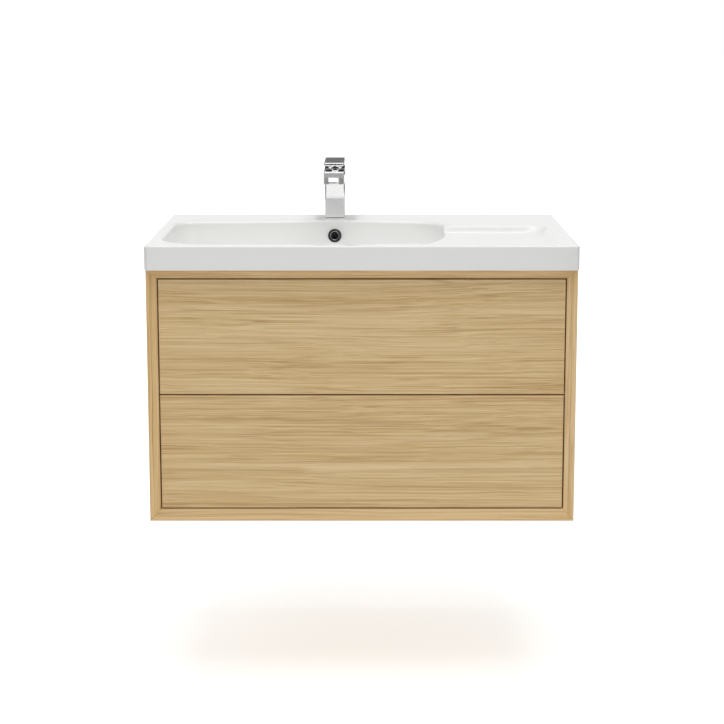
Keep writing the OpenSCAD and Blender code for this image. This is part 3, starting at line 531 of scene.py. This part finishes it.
def bowl_outline(side, front, rear, share):
    """The bowl seen from above, drawn in by three distances, with a share of its swell."""
    x0, x1, y0, y1 = BOWL["x0"] + side, BOWL["x1"] - side, BOWL["y0"] + front, BOWL["y1"] - rear
    rf, rr = max(LEFT_FRONT_R - side / 2, 14.0), max(LEFT_REAR_R - side / 4, 12.0)
    fx, fy = SWEEP_X - side, SWEEP_Y - front - 0.6 * rear
    rx, ry = RIGHT_REAR_R + 0.5 * side, RIGHT_REAR_R - 0.4 * rear
    flat = arc(x0 + rf, y0 + rf, rf, rf, 180, 18)
    flat += line((x0 + rf, y0), (x1 - fx, y0), 50)
    flat += arc(x1 - fx, y0 + fy, fx, fy, 270, 84)
    flat += line((x1, y0 + fy), (x1, y1 - ry), 4)
    back = arc(x1 - rx, y1 - ry, rx, ry, 0, 36)
    back += line((x1 - rx, y1), (x0 + rr, y1), 76)
    back += arc(x0 + rr, y1 - rr, rr, rr, 90, 16)
    back = [(x, y + share * swell(x)) for x, y in back]
    left = line((x0, y1 - rr), (x0, y0 + rf), 30)
    left = [(x, y + share * swell(x)) for x, y in left]
    return flat + back + left


def bowl_ring(out):
    """The bowl's outline a distance outside its own edge."""
    return bowl_outline(-out, -out, -out, 1)


def leaning(s, out=0.0):
    """The bowl's outline where its walls have leant in by the share s, seen a distance outside them."""
    share = 1 - 0.7 * s
    return bowl_outline(SIDE_BLEND * s - out, FRONT_BLEND * s - out, REAR_BLEND * s - out, share)


def shelf_box(u):
    """The shelf's box once its slopes are drawn in by the share u."""
    return (SHELF["x0"], SHELF["x1"] - SLOPE_RIGHT * u,
            SHELF["y0"] + SLOPE_FRONT * u, SHELF["y1"] - SLOPE_REAR * u)


def shelf_distance(x, y, u):
    """How far a place lies outside the shelf's outline at the share u, negative inside it."""
    x0, x1, y0, y1 = shelf_box(u)
    r = SHELF["front_r"] if y < (y0 + y1) / 2 else SHELF["rear_r"]
    if x < (x0 + x1) / 2:
        r = SHELF["left_r"]
    cx, cy = (x0 + x1) / 2, (y0 + y1) / 2
    qx, qy = abs(x - cx) - (x1 - x0) / 2 + r, abs(y - cy) - (y1 - y0) / 2 + r
    return min(max(qx, qy), 0.0) + math.hypot(max(qx, 0.0), max(qy, 0.0)) - r


def shelf_drop(x, y):
    """How far the shelf lies below the rim at a place; y counts from the front edge."""
    if shelf_distance(x, y, 0.0) >= 0:
        return 0.0
    if shelf_distance(x, y, 1.0) <= 0:
        return SHELF_DEPTH
    lo, hi = 0.0, 1.0
    for _ in range(18):
        mid = (lo + hi) / 2
        lo, hi = (mid, hi) if shelf_distance(x, y, mid) < 0 else (lo, mid)
    return SHELF_DEPTH * (1 - math.cos(math.pi * lo)) / 2


def shelf_outline(u):
    """The shelf's outline as points, at the share u of its slopes."""
    x0, x1, y0, y1 = shelf_box(u)
    r, q, p = SHELF["front_r"], SHELF["rear_r"], SHELF["left_r"]
    pts = line((x0 + p, y0), (x1 - r, y0), 60) + arc(x1 - r, y0 + r, r, r, 270, 10)
    pts += line((x1, y0 + r), (x1, y1 - q), 20) + arc(x1 - q, y1 - q, q, q, 0, 10)
    pts += line((x1 - q, y1), (x0 + p, y1), 60) + line((x0, y1 - p), (x0, y0 + p), 12)
    return pts


def deck_plan(inset):
    """The basin's outer outline, drawn in."""
    return box_plan(HALF_WIDTH - inset, inset, BASIN_D - inset, 7.0, 2, 8, 4)


def apron_plan(front, around):
    """The inner outline of the apron, drawn in by its front and by its other sides."""
    return box_plan(HALF_WIDTH - around, front, BASIN_D - around, 5.0, 5.0, 6, 6)


def underside(x, y):
    """The height of the deck's underside, which lies lower below the shelf."""
    high, low = RIM - DECK_T, RIM - SHELF_DEPTH - CAST_T
    d = shelf_distance(x, y, 0.0)
    if d >= SHELF_FAR:
        return high
    if d <= SHELF_NEAR:
        return low
    return high - (SHELF_DEPTH + CAST_T - DECK_T) * (SHELF_FAR - d) / (SHELF_FAR - SHELF_NEAR)


def inside(p, poly):
    """Whether a point lies inside an outline."""
    x, y = p
    hit = False
    for (x1, y1), (x2, y2) in zip(poly, poly[1:] + poly[:1]):
        if (y1 > y) != (y2 > y) and x < x1 + (y - y1) * (x2 - x1) / (y2 - y1):
            hit = not hit
    return hit


def fill_between(verts, outer, hole_loops, inner_lines, height):
    """Triangles between an outer loop and holes, given as vertex numbers, led along extra lines."""
    loops = [outer] + hole_loops
    ids = [v for loop in loops for v in loop]
    flat = [Vector((verts[v][0], verts[v][1])) for v in ids]
    edges, k = [], 0
    for loop in loops:
        edges += [(k + i, k + (i + 1) % len(loop)) for i in range(len(loop))]
        k += len(loop)
    for pts in inner_lines:
        start = len(flat)
        flat += [Vector(p) for p in pts]
        edges += [(start + i, start + i + 1) for i in range(len(pts) - 1)]
    one_point = 1e-4
    co, _, tris, orig, _, _ = delaunay_2d_cdt(flat, edges, [], 0, one_point)
    number = {}
    for i, src in enumerate(orig):
        known = [s for s in src if s < len(ids)]
        if known:
            number[i] = ids[known[0]]
        else:
            number[i] = len(verts)
            verts.append((co[i][0], co[i][1], height(co[i][0], co[i][1])))
    rings = [[(verts[v][0], verts[v][1]) for v in loop] for loop in loops]
    faces = []
    for tri in tris:
        c = sum((co[i] for i in tri), Vector((0, 0))) / 3
        if inside(c, rings[0]) and not any(inside(c, h) for h in rings[1:]):
            faces.append([number[i] for i in tri])
    return faces


def outside_runs(pts, poly, closed=True):
    """The runs of a line of points that lie outside an outline."""
    keep = [not inside(p, poly) for p in pts]
    if closed and all(keep):
        return [pts + pts[:1]]
    n = len(pts)
    start = next((i for i in range(n) if not keep[i]), 0)
    runs, run = [], []
    for i in range(start, start + n):
        if keep[i % n]:
            run.append(pts[i % n])
        elif run:
            runs.append(run)
            run = []
    if run:
        runs.append(run)
    return [r for r in runs if len(r) > 1]


def make_basin():
    """The casting as one closed mesh, without the overflow's duct."""
    verts, rows, faces = [], [], []

    def add(points, heights):
        """A ring of vertices, at one height or at a list of them; gives their numbers."""
        first = len(verts)
        hs = heights if isinstance(heights, list) else [heights] * len(points)
        verts.extend((x, y, z) for (x, y), z in zip(points, hs))
        rows.append(list(range(first, len(verts))))
        return rows[-1]

    def toward(points, r, share):
        """Points moved by a share of their way to a circle round the waste."""
        out = []
        for x, y in points:
            a = math.atan2(y - WASTE_IN, x - TAP_X)
            cx, cy = TAP_X + r * math.cos(a), WASTE_IN + r * math.sin(a)
            out.append((x + (cx - x) * share, y + (cy - y) * share))
        return out

    # bowl from the lip down to the waste bore and out again underneath
    outer_lip = bowl_ring(LIP)
    rim = [RIM - shelf_drop(x, y) for x, y in outer_lip]
    lip_top = add(outer_lip, rim)
    lip_steps = 9
    for k in range(1, lip_steps):
        b = math.pi / 2 * k / lip_steps
        add(bowl_ring(LIP * (1 - math.sin(b))), [h - LIP * (1 - math.cos(b)) for h in rim])
    floor_z = BOWL_FLOOR + FALL
    wall_steps = 34
    for k in range(wall_steps + 1):
        a = math.pi / 2 * k / wall_steps
        pts = leaning((1 - math.cos(a)) ** LEAN)
        add(pts, [h - LIP - (h - LIP - floor_z) * math.sin(a) for h in rim])
    fall_steps = 8
    for k in range(1, fall_steps + 1):
        t = k / fall_steps
        add(toward(pts, SEAT_R + 2.5, t), floor_z - FALL * (1 - (1 - t) ** 1.6))
    seat_z = BOWL_FLOOR - SEAT_SINK
    for r, z in ((SEAT_R + 0.8, BOWL_FLOOR), (SEAT_R + 0.2, BOWL_FLOOR - 0.2),
                 (SEAT_R, BOWL_FLOOR - 0.8), (SEAT_R, seat_z), (BORE_R, seat_z), (BORE_R, BOSS_Z),
                 (BOSS_R - 1, BOSS_Z), (BOSS_R, BOSS_Z + 1)):
        add(toward(pts, r, 1.0), z)
    add(toward(pts, BOSS_R, 1.0), floor_z - CAST_T - 4)
    shell_steps = 12
    for k in range(shell_steps, 0, -1):
        a = math.pi / 2 * k / shell_steps
        z = RIM - LIP - (BOWL_DEPTH - LIP - FALL) * math.sin(a) - CAST_T * math.sin(a)
        add(leaning((1 - math.cos(a)) ** LEAN, CAST_T * math.cos(a)), z)
    shell_plan = bowl_ring(CAST_T)
    shell_top = add(shell_plan, [underside(x, y) for x, y in shell_plan])
    faces += ring_faces(rows)

    # deck: flat top, led round the shelf's slopes, with its rounded edge
    edge_rows = []
    for degrees in range(0, 91, 15):
        b = math.radians(degrees)
        edge_rows.append(add(deck_plan(EDGE * (1 - math.sin(b))), RIM - EDGE * (1 - math.cos(b))))
    turns = [2 * math.pi * i / 40 for i in range(40)]
    tap_hole = [(TAP_X + TAP_HOLE_R * math.cos(a), BASIN_D + TAP_Y + TAP_HOLE_R * math.sin(a))
                for a in turns]
    hole_top = add(tap_hole, RIM)
    near_lip, keep_out, near_edge = bowl_ring(LIP + 0.7), bowl_ring(LIP + 0.9), deck_plan(EDGE + 0.7)
    guides = [near_lip + near_lip[:1], near_edge + near_edge[:1]]
    slope_steps = 12
    for u in [-0.08, 0.0] + [k / slope_steps for k in range(1, slope_steps)] + [1.0, 1.1]:
        guides += outside_runs(shelf_outline(u), keep_out)
    faces += fill_between(verts, edge_rows[0], [lip_top, hole_top], guides,
                          lambda x, y: RIM - shelf_drop(x, y))

    # underside of the deck, the apron and its foot
    inner = apron_plan(APRON_T + 2, APRON_T)
    inner_top = add(inner, [underside(x, y) for x, y in inner])
    inner_low = add(inner, UNDER + 0.6)
    hole_low = add(tap_hole, RIM - DECK_T)
    lines = []
    for d in (SHELF_NEAR, SHELF_FAR):
        x0, x1, y0, y1 = SHELF["x0"] - d, SHELF["x1"] + d, SHELF["y0"] - d, SHELF["y1"] + d
        loop = line((x0, y0), (x1, y0), 30) + line((x1, y0), (x1, y1), 16)
        loop += line((x1, y1), (x0, y1), 30)
        for run in outside_runs(loop, bowl_ring(CAST_T + 0.5), closed=False):
            lines.append([q for q in run if inside(q, inner)])
    lines = [run for run in lines if len(run) > 1]
    faces += fill_between(verts, inner_top, [shell_top, hole_low], lines, underside)
    faces += ring_faces([hole_top, hole_low])
    faces += ring_faces([inner_top, inner_low])
    outer_low = add(deck_plan(0), UNDER + 0.8)
    foot = add(deck_plan(0.8), UNDER)
    faces += ring_faces(edge_rows + [outer_low, foot])
    inner_foot = add(apron_plan(APRON_T + 1.4, APRON_T - 0.6), UNDER)
    faces += ring_faces([inner_foot, inner_low])
    faces += fill_between(verts, foot, [inner_foot], [], lambda x, y: UNDER)

    pts = [(x * MM, (y - BASIN_D) * MM, z * MM) for x, y, z in verts]
    return cleaned(mesh_from("basin_body", pts, faces))


def boolean(target, others, operation):
    """The mesh joined with others, or cut by them."""
    base = bpy.data.objects.new("tmp_base", target)
    bpy.context.scene.collection.objects.link(base)
    helpers = []
    for me in others:
        ob = bpy.data.objects.new("tmp_cut", me)
        bpy.context.scene.collection.objects.link(ob)
        mod = base.modifiers.new("cut", "BOOLEAN")
        mod.operation = operation
        mod.solver = "EXACT"
        mod.object = ob
        helpers.append(ob)
    bpy.context.view_layer.update()
    dg = bpy.context.evaluated_depsgraph_get()
    out = bpy.data.meshes.new_from_object(base.evaluated_get(dg))
    for ob in [base, *helpers]:
        bpy.data.objects.remove(ob)
    return out


def block(half, y0, y1, z0, z1, radius=0.0):
    """A box in mm, as wide to both sides of the tap's middle, its edges rounded."""
    bm = bmesh.new()
    bmesh.ops.create_cube(bm, size=1.0)
    lo, hi = Vector((TAP_X - half, y0, z0)), Vector((TAP_X + half, y1, z1))
    for v in bm.verts:
        v.co = Vector([(lo[i] + hi[i]) / 2 + v.co[i] * (hi[i] - lo[i]) for i in range(3)]) * MM
    if radius:
        bmesh.ops.bevel(bm, geom=list(bm.edges), offset=radius * MM, offset_type="OFFSET", segments=3,
                        profile=0.5, affect="EDGES", clamp_overlap=True)
    bmesh.ops.recalc_face_normals(bm, faces=bm.faces)
    me = bpy.data.meshes.new("block")
    bm.to_mesh(me)
    bm.free()
    return me


# The overflow's duct behind and below the bowl: outside, and the way inside it
DUCT_HALF, DUCT_EDGE = 19.0, 1.5
SLOT_HALF, SLOT_FRONT, SLOT_REAR = 12.0, OVERFLOW_Y + 6, OVERFLOW_Y + 17
SLOT_LOW, SLOT_HIGH = BOSS_Z + 5, OVERFLOW_Z + 12
CAST_LOW = BOWL_FLOOR - CAST_T

duct = block(DUCT_HALF, OVERFLOW_Y + 9, OVERFLOW_Y + 22, BOSS_Z, OVERFLOW_Z + 17, DUCT_EDGE)
duct_low = block(DUCT_HALF, WASTE_Y + 24, OVERFLOW_Y + 21, BOSS_Z, CAST_LOW + 2, DUCT_EDGE)
basin_mesh = boolean(make_basin(), [duct, duct_low], "UNION")
slot_high = block(SLOT_HALF, SLOT_FRONT, SLOT_REAR, SLOT_LOW, SLOT_HIGH)
slot_low = block(SLOT_HALF, WASTE_Y, SLOT_REAR, SLOT_LOW, CAST_LOW - 3)
ring_hole = lathe([(0, -40), (14.2, -40), (14.2, -1), (11, -1), (11, 14), (0, 14)],
                  (TAP_X, OVERFLOW_Y, OVERFLOW_Z), "Y", 48)
basin_mesh = boolean(basin_mesh, [slot_high, slot_low, ring_hole], "DIFFERENCE")
basin = place("basin_glazed", basin_mesh, body_of("basin"), ENAMEL, ["basin"], sharp=38)
# painted shade: the way inside the duct is coloured dark grey for the shade deep inside it
basin.data.materials.append(DUCT_PAINTED_SHADE)
for face in basin.data.polygons:
    x, y, z = (v / MM for v in face.center)
    within = abs(x - TAP_X) < SLOT_HALF + 0.5 and SLOT_FRONT - 0.5 < y < SLOT_REAR + 0.5
    if within and SLOT_LOW - 1 < z < SLOT_HIGH + 0.5:
        face.material_index = 1


# ---------- tap ----------

def join_meshes(meshes):
    """One mesh of several, not fused."""
    bm = bmesh.new()
    for me in meshes:
        bm.from_mesh(me)
    out = bpy.data.meshes.new("joined")
    bm.to_mesh(out)
    bm.free()
    return out


def plate(w, d, h, corner, edge, centre, steps=6):
    """A flat plate with rounded corners in plan and a fillet round its upper and lower edge."""
    verts, rows, levels = [], [], []
    for k in range(steps + 1):
        a = math.pi / 2 * k / steps
        levels.append((edge * (1 - math.sin(a)), edge * (1 - math.cos(a))))
    profile = levels + [(i, h - z) for i, z in reversed(levels)]
    cx, cy, cz = centre
    for inset, z in profile:
        x, y, r = w / 2 - inset, d / 2 - inset, max(corner - inset, 0.05)
        pts = box_plan(x, -y, y, r, r, 8, 8)
        rows.append(list(range(len(verts), len(verts) + len(pts))))
        verts += [((px + cx) * MM, (py + cy) * MM, (z + cz) * MM) for px, py in pts]
    return cleaned(mesh_from("plate", verts, ring_faces(rows) + [rows[0][::-1], rows[-1]]))


def disc(r, half):
    """The profile of a disc as thick to both sides."""
    return [(0, -half), (r, -half), (r, half), (0, half)]


# Sizes in mm. SPOUT_LOW, PIVOT_Z and LEVER_LOW are heights in the shared frame, and BALL_LOW counts
# from the pivot
GASKET_H, COLUMN_W, COLUMN_H = 1.5, 42.0, 107.0
COLUMN_CORNER, SPOUT_CORNER, TAP_EDGE = 3.6, 2.2, 0.8
SPOUT_LEN, SPOUT_T, SPOUT_LOW = 104.0, 26.0, RIM + 81.0
PIVOT_Z = RIM + 99.0
AERATOR_Y = -151.0
INLET_X, INLET_Y = 8.0, TAP_Y + 4
LEVER_W, LEVER_LEN, LEVER_T, LEVER_Y, LEVER_LOW = 41, 127, 6, -82.5, RIM + 117
BALL_R, BALL_LOW, BALL_FOOT_ANGLE = 17.3, -6.5, 22.1
FORK_HALF, FORK_R = 6.3, 5

half = COLUMN_W / 2
column = plate(COLUMN_W, COLUMN_W, COLUMN_H - GASKET_H, COLUMN_CORNER, TAP_EDGE,
               (TAP_X, TAP_Y, RIM + GASKET_H), 4)
spout = plate(COLUMN_W, SPOUT_LEN + half, SPOUT_T, SPOUT_CORNER, TAP_EDGE,
              (TAP_X, TAP_Y - (half + SPOUT_LEN) / 2, SPOUT_LOW), 4)
tap_mesh = boolean(column, [spout], "UNION")
hollow = [(0, RIM + 45), (18, RIM + 45), (18, RIM + 105.9), (18.7, RIM + 108), (0, RIM + 108)]
mouth = [(0, -1), (13.1, -1), (12.3, 0.6), (12.3, 13), (0, 13)]
inlet = [(0, -1), (4.5, -1), (4.5, 18.5), (0, 18.5)]
cuts = [lathe(hollow, (TAP_X, TAP_Y, 0), "Z", 96),
        lathe(mouth, (TAP_X, AERATOR_Y, SPOUT_LOW), "Z", 64)]
for dx in (-INLET_X, INLET_X):
    cuts.append(lathe(inlet, (TAP_X + dx, INLET_Y, RIM + GASKET_H), "Z", 24))
tap_mesh = boolean(tap_mesh, cuts, "DIFFERENCE")
place("tap_column_and_spout", tap_mesh, body_of("tap_body"), CHROME, ["tap_body"], sharp=30)

sphere = [(BALL_R * math.cos(math.radians(a)), BALL_R * math.sin(math.radians(a)))
          for a in range(-18, 90, 4)]
ball_foot = [(0.0, BALL_LOW), (BALL_R * math.cos(math.radians(BALL_FOOT_ANGLE)), BALL_LOW)]
ball = lathe(ball_foot + sphere + [(0.0, BALL_R)], (TAP_X, TAP_Y, PIVOT_Z), "Z", 96)
slot = block(6.6, TAP_Y - 5.4, TAP_Y + 10, PIVOT_Z - 8, PIVOT_Z + 20)
ball = boolean(ball, [slot], "DIFFERENCE")
place("tap_ball_cap", ball, body_of("tap_dome"), CHROME, ["tap_dome"], sharp=40)

neck = block(FORK_HALF, TAP_Y - 4, TAP_Y + 4, PIVOT_Z, LEVER_LOW + 0.6)
cheeks = lathe(disc(FORK_R, FORK_HALF), (TAP_X, TAP_Y, PIVOT_Z), "X", 48)
gap = lathe(disc(6.4, 3.3), (TAP_X, TAP_Y, PIVOT_Z), "X", 48)
fork = boolean(boolean(neck, [cheeks], "UNION"), [gap], "DIFFERENCE")
lever = plate(LEVER_W, LEVER_LEN, LEVER_T, 3.0, 0.9, (TAP_X, LEVER_Y, LEVER_LOW))
lever = boolean(lever, [fork], "UNION")
place("tap_lever_plate", lever, body_of("tap_lever"), CHROME, ["tap_lever"], sharp=30)
seal = plate(40, 40, GASKET_H, 2.5, 0.3, (TAP_X, TAP_Y, RIM))
place("tap_base_seal", seal, body_of("tap_base_gasket"), SILICONE, ["tap_base_gasket"])
insert = rounded([(0, 1.6), (9.2, 1.6), (9.8, -0.8), (12, -0.8), (12, 8.2), (0, 8.2)], 0.3, 3)
insert = lathe(insert, (TAP_X, AERATOR_Y, SPOUT_LOW), "Z", 72)
place("tap_aerator_insert", insert, body_of("tap_aerator"), CHROME, ["tap_aerator"])

# ---------- waste and overflow ----------

RING_AT = (TAP_X, OVERFLOW_Y - 1, OVERFLOW_Z)
PLUG_AT = (TAP_X, WASTE_Y, BOWL_FLOOR)

bezel = rounded([(8.9, 0.0), (8.9, -1.8), (9.9, -2.8), (12.6, -2.8), (13.8, -1.6), (13.8, 0)], 0.5, 4)
liner = rounded([(6.4, 11.2), (6.4, 4.4), (8.5, -1.2), (8.9, -1.4), (8.9, 0), (10.9, 0),
                 (10.9, 11.2)], 0.3, 4)
# the bezel's near-black chrome is a painted dark reflection
for name, profile, material in (("overflow_bezel", bezel, CHROME_PAINTED_DARK),
                                ("overflow_liner", liner, CHROME)):
    place(name, lathe(profile, RING_AT, "Y", 72), body_of("overflow_ring"), material,
          ["overflow_ring"])
dome = rounded([(0, 0.4, 0), (27.0, 0.4, 0), (28.5, 1.8, 0.6), (28.0, 3.0, 0.8), (22, 4.6, 6),
                (12, 5.6, 6), (0, 6.0, 0)], 1.0, 5)
stem = [(0, -44), (3.9, -44), (3.9, 0.6), (0, 0.6)]
plug = join_meshes([lathe(dome, PLUG_AT, "Z", 96), lathe(stem, PLUG_AT, "Z", 32)])
place("waste_plug_dome", plug, body_of("waste_plug"), CHROME, ["waste_plug"])

# ---------- boards ----------

# How far the edges of veneered and of melamine-faced boards are eased, in metres
VENEER_EASE, BOARD_EASE = 0.0004, 0.0006

for node, material in (("side_panel_left", OAK["left"]), ("side_panel_right", OAK["right"]),
                       ("bottom_panel", OAK["bottom"]), ("front_rail", OAK["rail"]),
                       ("upper_front", OAK["fronts"]), ("lower_front", OAK["lower"])):
    softened(node, VENEER_EASE, material)
for node in ("upper_side_left", "upper_side_right", "upper_back_left", "upper_back_right", "upper_bottom",
             "lower_side_left", "lower_side_right", "lower_back", "lower_bottom"):
    softened(node, BOARD_EASE, BOARD)
for node in ("rear_rail_upper", "rear_rail_lower"):
    softened(node, BOARD_EASE, RAIL_BOARD)

# The CAD's nodes that no piece replaces get a finish by their slot
FINISH = {"zinc_steel": ZINC, "chrome": CHROME, "white_plastic": PLASTIC, "dark_plastic": DARK,
          "seal_rubber": RUBBER, "oak": BEECH, "board": BOARD, "basin_white": ENAMEL}
SLOT_OF = {row["node"]: row["material_slot"] for row in frame["record"]["subparts"]}
for node, ob in NODES.items():
    if not ob.hide_render:
        ob.data.materials.clear()
        ob.data.materials.append(FINISH[SLOT_OF[node]])

keep_flats_flat()

# ---------- floor, light and camera ----------

WHITE = (1, 1, 1, 1)
# The world's strength for what the camera sees and for diffuse light
SEEN_STRENGTH, DIFFUSE_STRENGTH = 1.0, 0.500
# For mirrored light it is 1 low down, falls to a dark level between two heights of the direction,
# and rises to a light level between two more
DARK_FROM, DARK_TO, DARK_LEVEL = 0.20, 0.34, 0.36
LIGHT_FROM, LIGHT_TO, LIGHT_LEVEL = 0.72, 0.90, 0.95


def world_light():
    """A white studio, with a darker band above the horizon for mirrored light alone."""
    w = bpy.data.worlds.new("studio")
    bpy.context.scene.world = w
    w.use_nodes = True
    t = w.node_tree
    t.nodes.clear()
    g = Graph(t)

    def background(strength=None):
        n = g.node("ShaderNodeBackground")
        n.inputs["Color"].default_value = WHITE
        if strength is not None:
            n.inputs["Strength"].default_value = strength
        return n

    def mixed(factor, a, b):
        n = g.node("ShaderNodeMixShader")
        for i, v in enumerate((factor, a, b)):
            g.link(v, n.inputs[i])
        return n.outputs[0]

    out = g.node("ShaderNodeOutputWorld")
    path = g.node("ShaderNodeLightPath")
    seen = g.math("MAXIMUM", path.outputs["Is Camera Ray"], path.outputs["Is Transmission Ray"])
    direction = g.node("ShaderNodeSeparateXYZ")
    g.link(g.node("ShaderNodeTexCoord").outputs["Generated"], direction.inputs[0])
    up = direction.outputs[2]
    band = g.math("MAXIMUM", g.fit(up, DARK_FROM, DARK_TO, 1.0, DARK_LEVEL, smooth=True),
                  g.fit(up, LIGHT_FROM, LIGHT_TO, 0.0, LIGHT_LEVEL, smooth=True))
    studio = background()
    g.link(band, studio.inputs["Strength"])
    lit, white = background(DIFFUSE_STRENGTH), background(SEEN_STRENGTH)
    light = mixed(path.outputs["Is Glossy Ray"], lit.outputs[0], studio.outputs[0])
    g.link(mixed(seen, light, white.outputs[0]), out.inputs[0])


# The floor glows for the camera and for mirrored light, more the farther from its middle, so that it
# ends in the white
GLOW_NEAR, GLOW_FAR, GLOW_LOW, GLOW_HIGH = 0.9, 3.2, 0.48, 0.82


def floor_material():
    """A pale floor that takes the shadow and fades into the white background."""
    m, t, s = new_material("pale_floor")
    g = Graph(t)
    cloud = g.noise(g.coords(scale=(3, 3, 3)), detail=2.0)
    base = g.mix(g.fit(cloud, 0.3, 0.7), (0.93, 0.93, 0.93), (0.96, 0.96, 0.96))
    g.link(base, s.inputs["Base Color"])
    s.inputs["Roughness"].default_value = 0.9
    s.inputs["Specular IOR Level"].default_value = 0.1
    path = g.node("ShaderNodeLightPath")
    seen = g.math("MAXIMUM", path.outputs["Is Camera Ray"], path.outputs["Is Glossy Ray"])
    s.inputs["Emission Color"].default_value = WHITE
    away = g.node("ShaderNodeVectorMath", operation="LENGTH")
    g.link(g.coords(), away.inputs[0])
    glow = g.fit(away.outputs["Value"], GLOW_NEAR, GLOW_FAR, GLOW_LOW, GLOW_HIGH, smooth=True)
    g.link(g.math("MULTIPLY", seen, glow), s.inputs["Emission Strength"])
    return m


def sheet(name, corners, material):
    """A flat four-cornered piece of the studio."""
    mesh = bpy.data.meshes.new(name)
    mesh.from_pydata(corners, [], [(0, 1, 2, 3)])
    mesh.materials.append(material)
    ob = bpy.data.objects.new(name, mesh)
    bpy.context.scene.collection.objects.link(ob)
    return ob


# The cabinet's underside in the shared frame, and the clear height below it
CABINET_LOW, CLEAR_BELOW = -0.24, 0.344
FLOOR_HALF, FLOOR_Y = 40, -0.2
floor = sheet("floor", [(-FLOOR_HALF, -FLOOR_HALF, 0), (FLOOR_HALF, -FLOOR_HALF, 0),
                        (FLOOR_HALF, FLOOR_HALF, 0), (-FLOOR_HALF, FLOOR_HALF, 0)], floor_material())
floor.location = (0, FLOOR_Y, CABINET_LOW - CLEAR_BELOW)


def area(name, at, target, size, power):
    """A square lamp that looks at a place and isn't seen itself."""
    light = bpy.data.lights.new(name, "AREA")
    light.shape = "RECTANGLE"
    light.size = light.size_y = size
    light.energy = power
    ob = bpy.data.objects.new(name, light)
    bpy.context.scene.collection.objects.link(ob)
    ob.location = at
    ob.rotation_mode = "QUATERNION"
    ob.rotation_quaternion = (Vector(target) - Vector(at)).to_track_quat("-Z", "Y")
    ob.visible_camera = False


def flag_material(name, dark, light, glow=0.0):
    """A matt card between two close tones, lit by itself where it glows."""
    m, t, s = new_material(name)
    g = Graph(t)
    cloud = g.noise(g.coords(scale=(5, 5, 5)), detail=2.0)
    g.link(g.mix(cloud, dark, light), s.inputs["Base Color"])
    s.inputs["Roughness"].default_value = 0.9
    s.inputs["Emission Color"].default_value = WHITE
    s.inputs["Emission Strength"].default_value = glow
    return m


FLAG = flag_material("studio_flag", (0.02, 0.02, 0.022), (0.035, 0.035, 0.037))
PANEL = flag_material("studio_panel", (0.70, 0.70, 0.70), (0.74, 0.74, 0.74), 0.50)
GREY_FLAG = flag_material("studio_grey_flag", (0.22, 0.22, 0.22), (0.25, 0.25, 0.25))
PALE_FLAG = flag_material("studio_pale_flag", (0.58, 0.58, 0.61), (0.62, 0.62, 0.65))
MID_FLAG = flag_material("studio_mid_flag", (0.40, 0.40, 0.36), (0.45, 0.45, 0.41))


def flag(name, corners, material):
    """A card that only mirrored light meets, as a photographer sets beside chrome."""
    ob = sheet(name, corners, material)
    for ray in ("camera", "diffuse", "shadow", "transmission", "volume_scatter"):
        setattr(ob, "visible_" + ray, False)


# Cards to the left and right of the tap: x and front y; they share their rear y and their top
SIDE_FLAGS = {"flag_left": (-0.62, -1.4), "flag_right": (0.50, -1.5)}
FLAG_REAR, FLAG_TOP = 0.15, 0.41
for name, (x, y) in SIDE_FLAGS.items():
    flag(name, [(x, y, 0.0), (x, FLAG_REAR, 0.0), (x, FLAG_REAR, FLAG_TOP), (x, y, FLAG_TOP)], FLAG)

# Upright cards in front of and behind the tap: left x, right x, y, lower z, upper z
FRONT_FLAGS = {
    "flag_gap": (-0.110, -0.015, 0.35, 0.335, 0.436, FLAG),
    "flag_behind": (-0.110, -0.015, 0.36, 0.436, 0.48, GREY_FLAG),
    "flag_front": (-0.15, -0.02, -1.5, 0.266, 0.292, FLAG),
    "panel_column": (-0.16, 0.02, -1.6, 0.08, 0.214, PANEL),
    "flag_spout_top": (-0.13, -0.04, -1.5, 0.2425, 0.262, PALE_FLAG),
    "flag_spout_left": (-0.13, -0.102, -1.5, 0.215, 0.2425, MID_FLAG),
    "flag_spout_right": (-0.070, -0.04, -1.5, 0.215, 0.2425, MID_FLAG),
    "flag_spout_low": (-0.105, -0.073, -1.49, 0.2215, 0.2265, FLAG),
}
for name, (x0, x1, y, z0, z1, material) in FRONT_FLAGS.items():
    flag(name, [(x0, y, z0), (x1, y, z0), (x1, y, z1), (x0, y, z1)], material)

world_light()
# Lamps: place, target, size in metres, power in watts
area("key", (-2.0, -2.0, 2.6), (0, -0.2, 0.1), 1.2, 5)
area("top", (0.1, -0.95, 3.1), (0, -0.25, 0), 2.6, 53.5)
area("front", (-0.3, -4.6, 1.6), (0, -0.2, 0.1), 3.0, 1.5)

# The camera, fitted to the photograph's edges: focal length in the photograph's pixels, tilt in radians
PHOTO_PX, FOCAL_PX, SENSOR = 724, 1625.63, 36.0
SHIFT_X, SHIFT_Y, TILT = -0.0071, -0.15, 0.1501
CAMERA_AT = (0.0098, -3.4243, 0.7199)
cam_data = bpy.data.cameras.new("camera")
cam_data.sensor_width = SENSOR
cam_data.lens = FOCAL_PX / PHOTO_PX * SENSOR
cam_data.shift_x = SHIFT_X
cam_data.shift_y = SHIFT_Y
cam_data.clip_start = 0.05
cam_data.clip_end = 200
cam = bpy.data.objects.new("camera", cam_data)
bpy.context.scene.collection.objects.link(cam)
cam.location = CAMERA_AT
cam.rotation_mode = "XYZ"
cam.rotation_euler = (math.radians(90) - TILT, 0, 0)
bpy.context.scene.camera = cam
bpy.context.scene.view_settings.view_transform = "Standard"
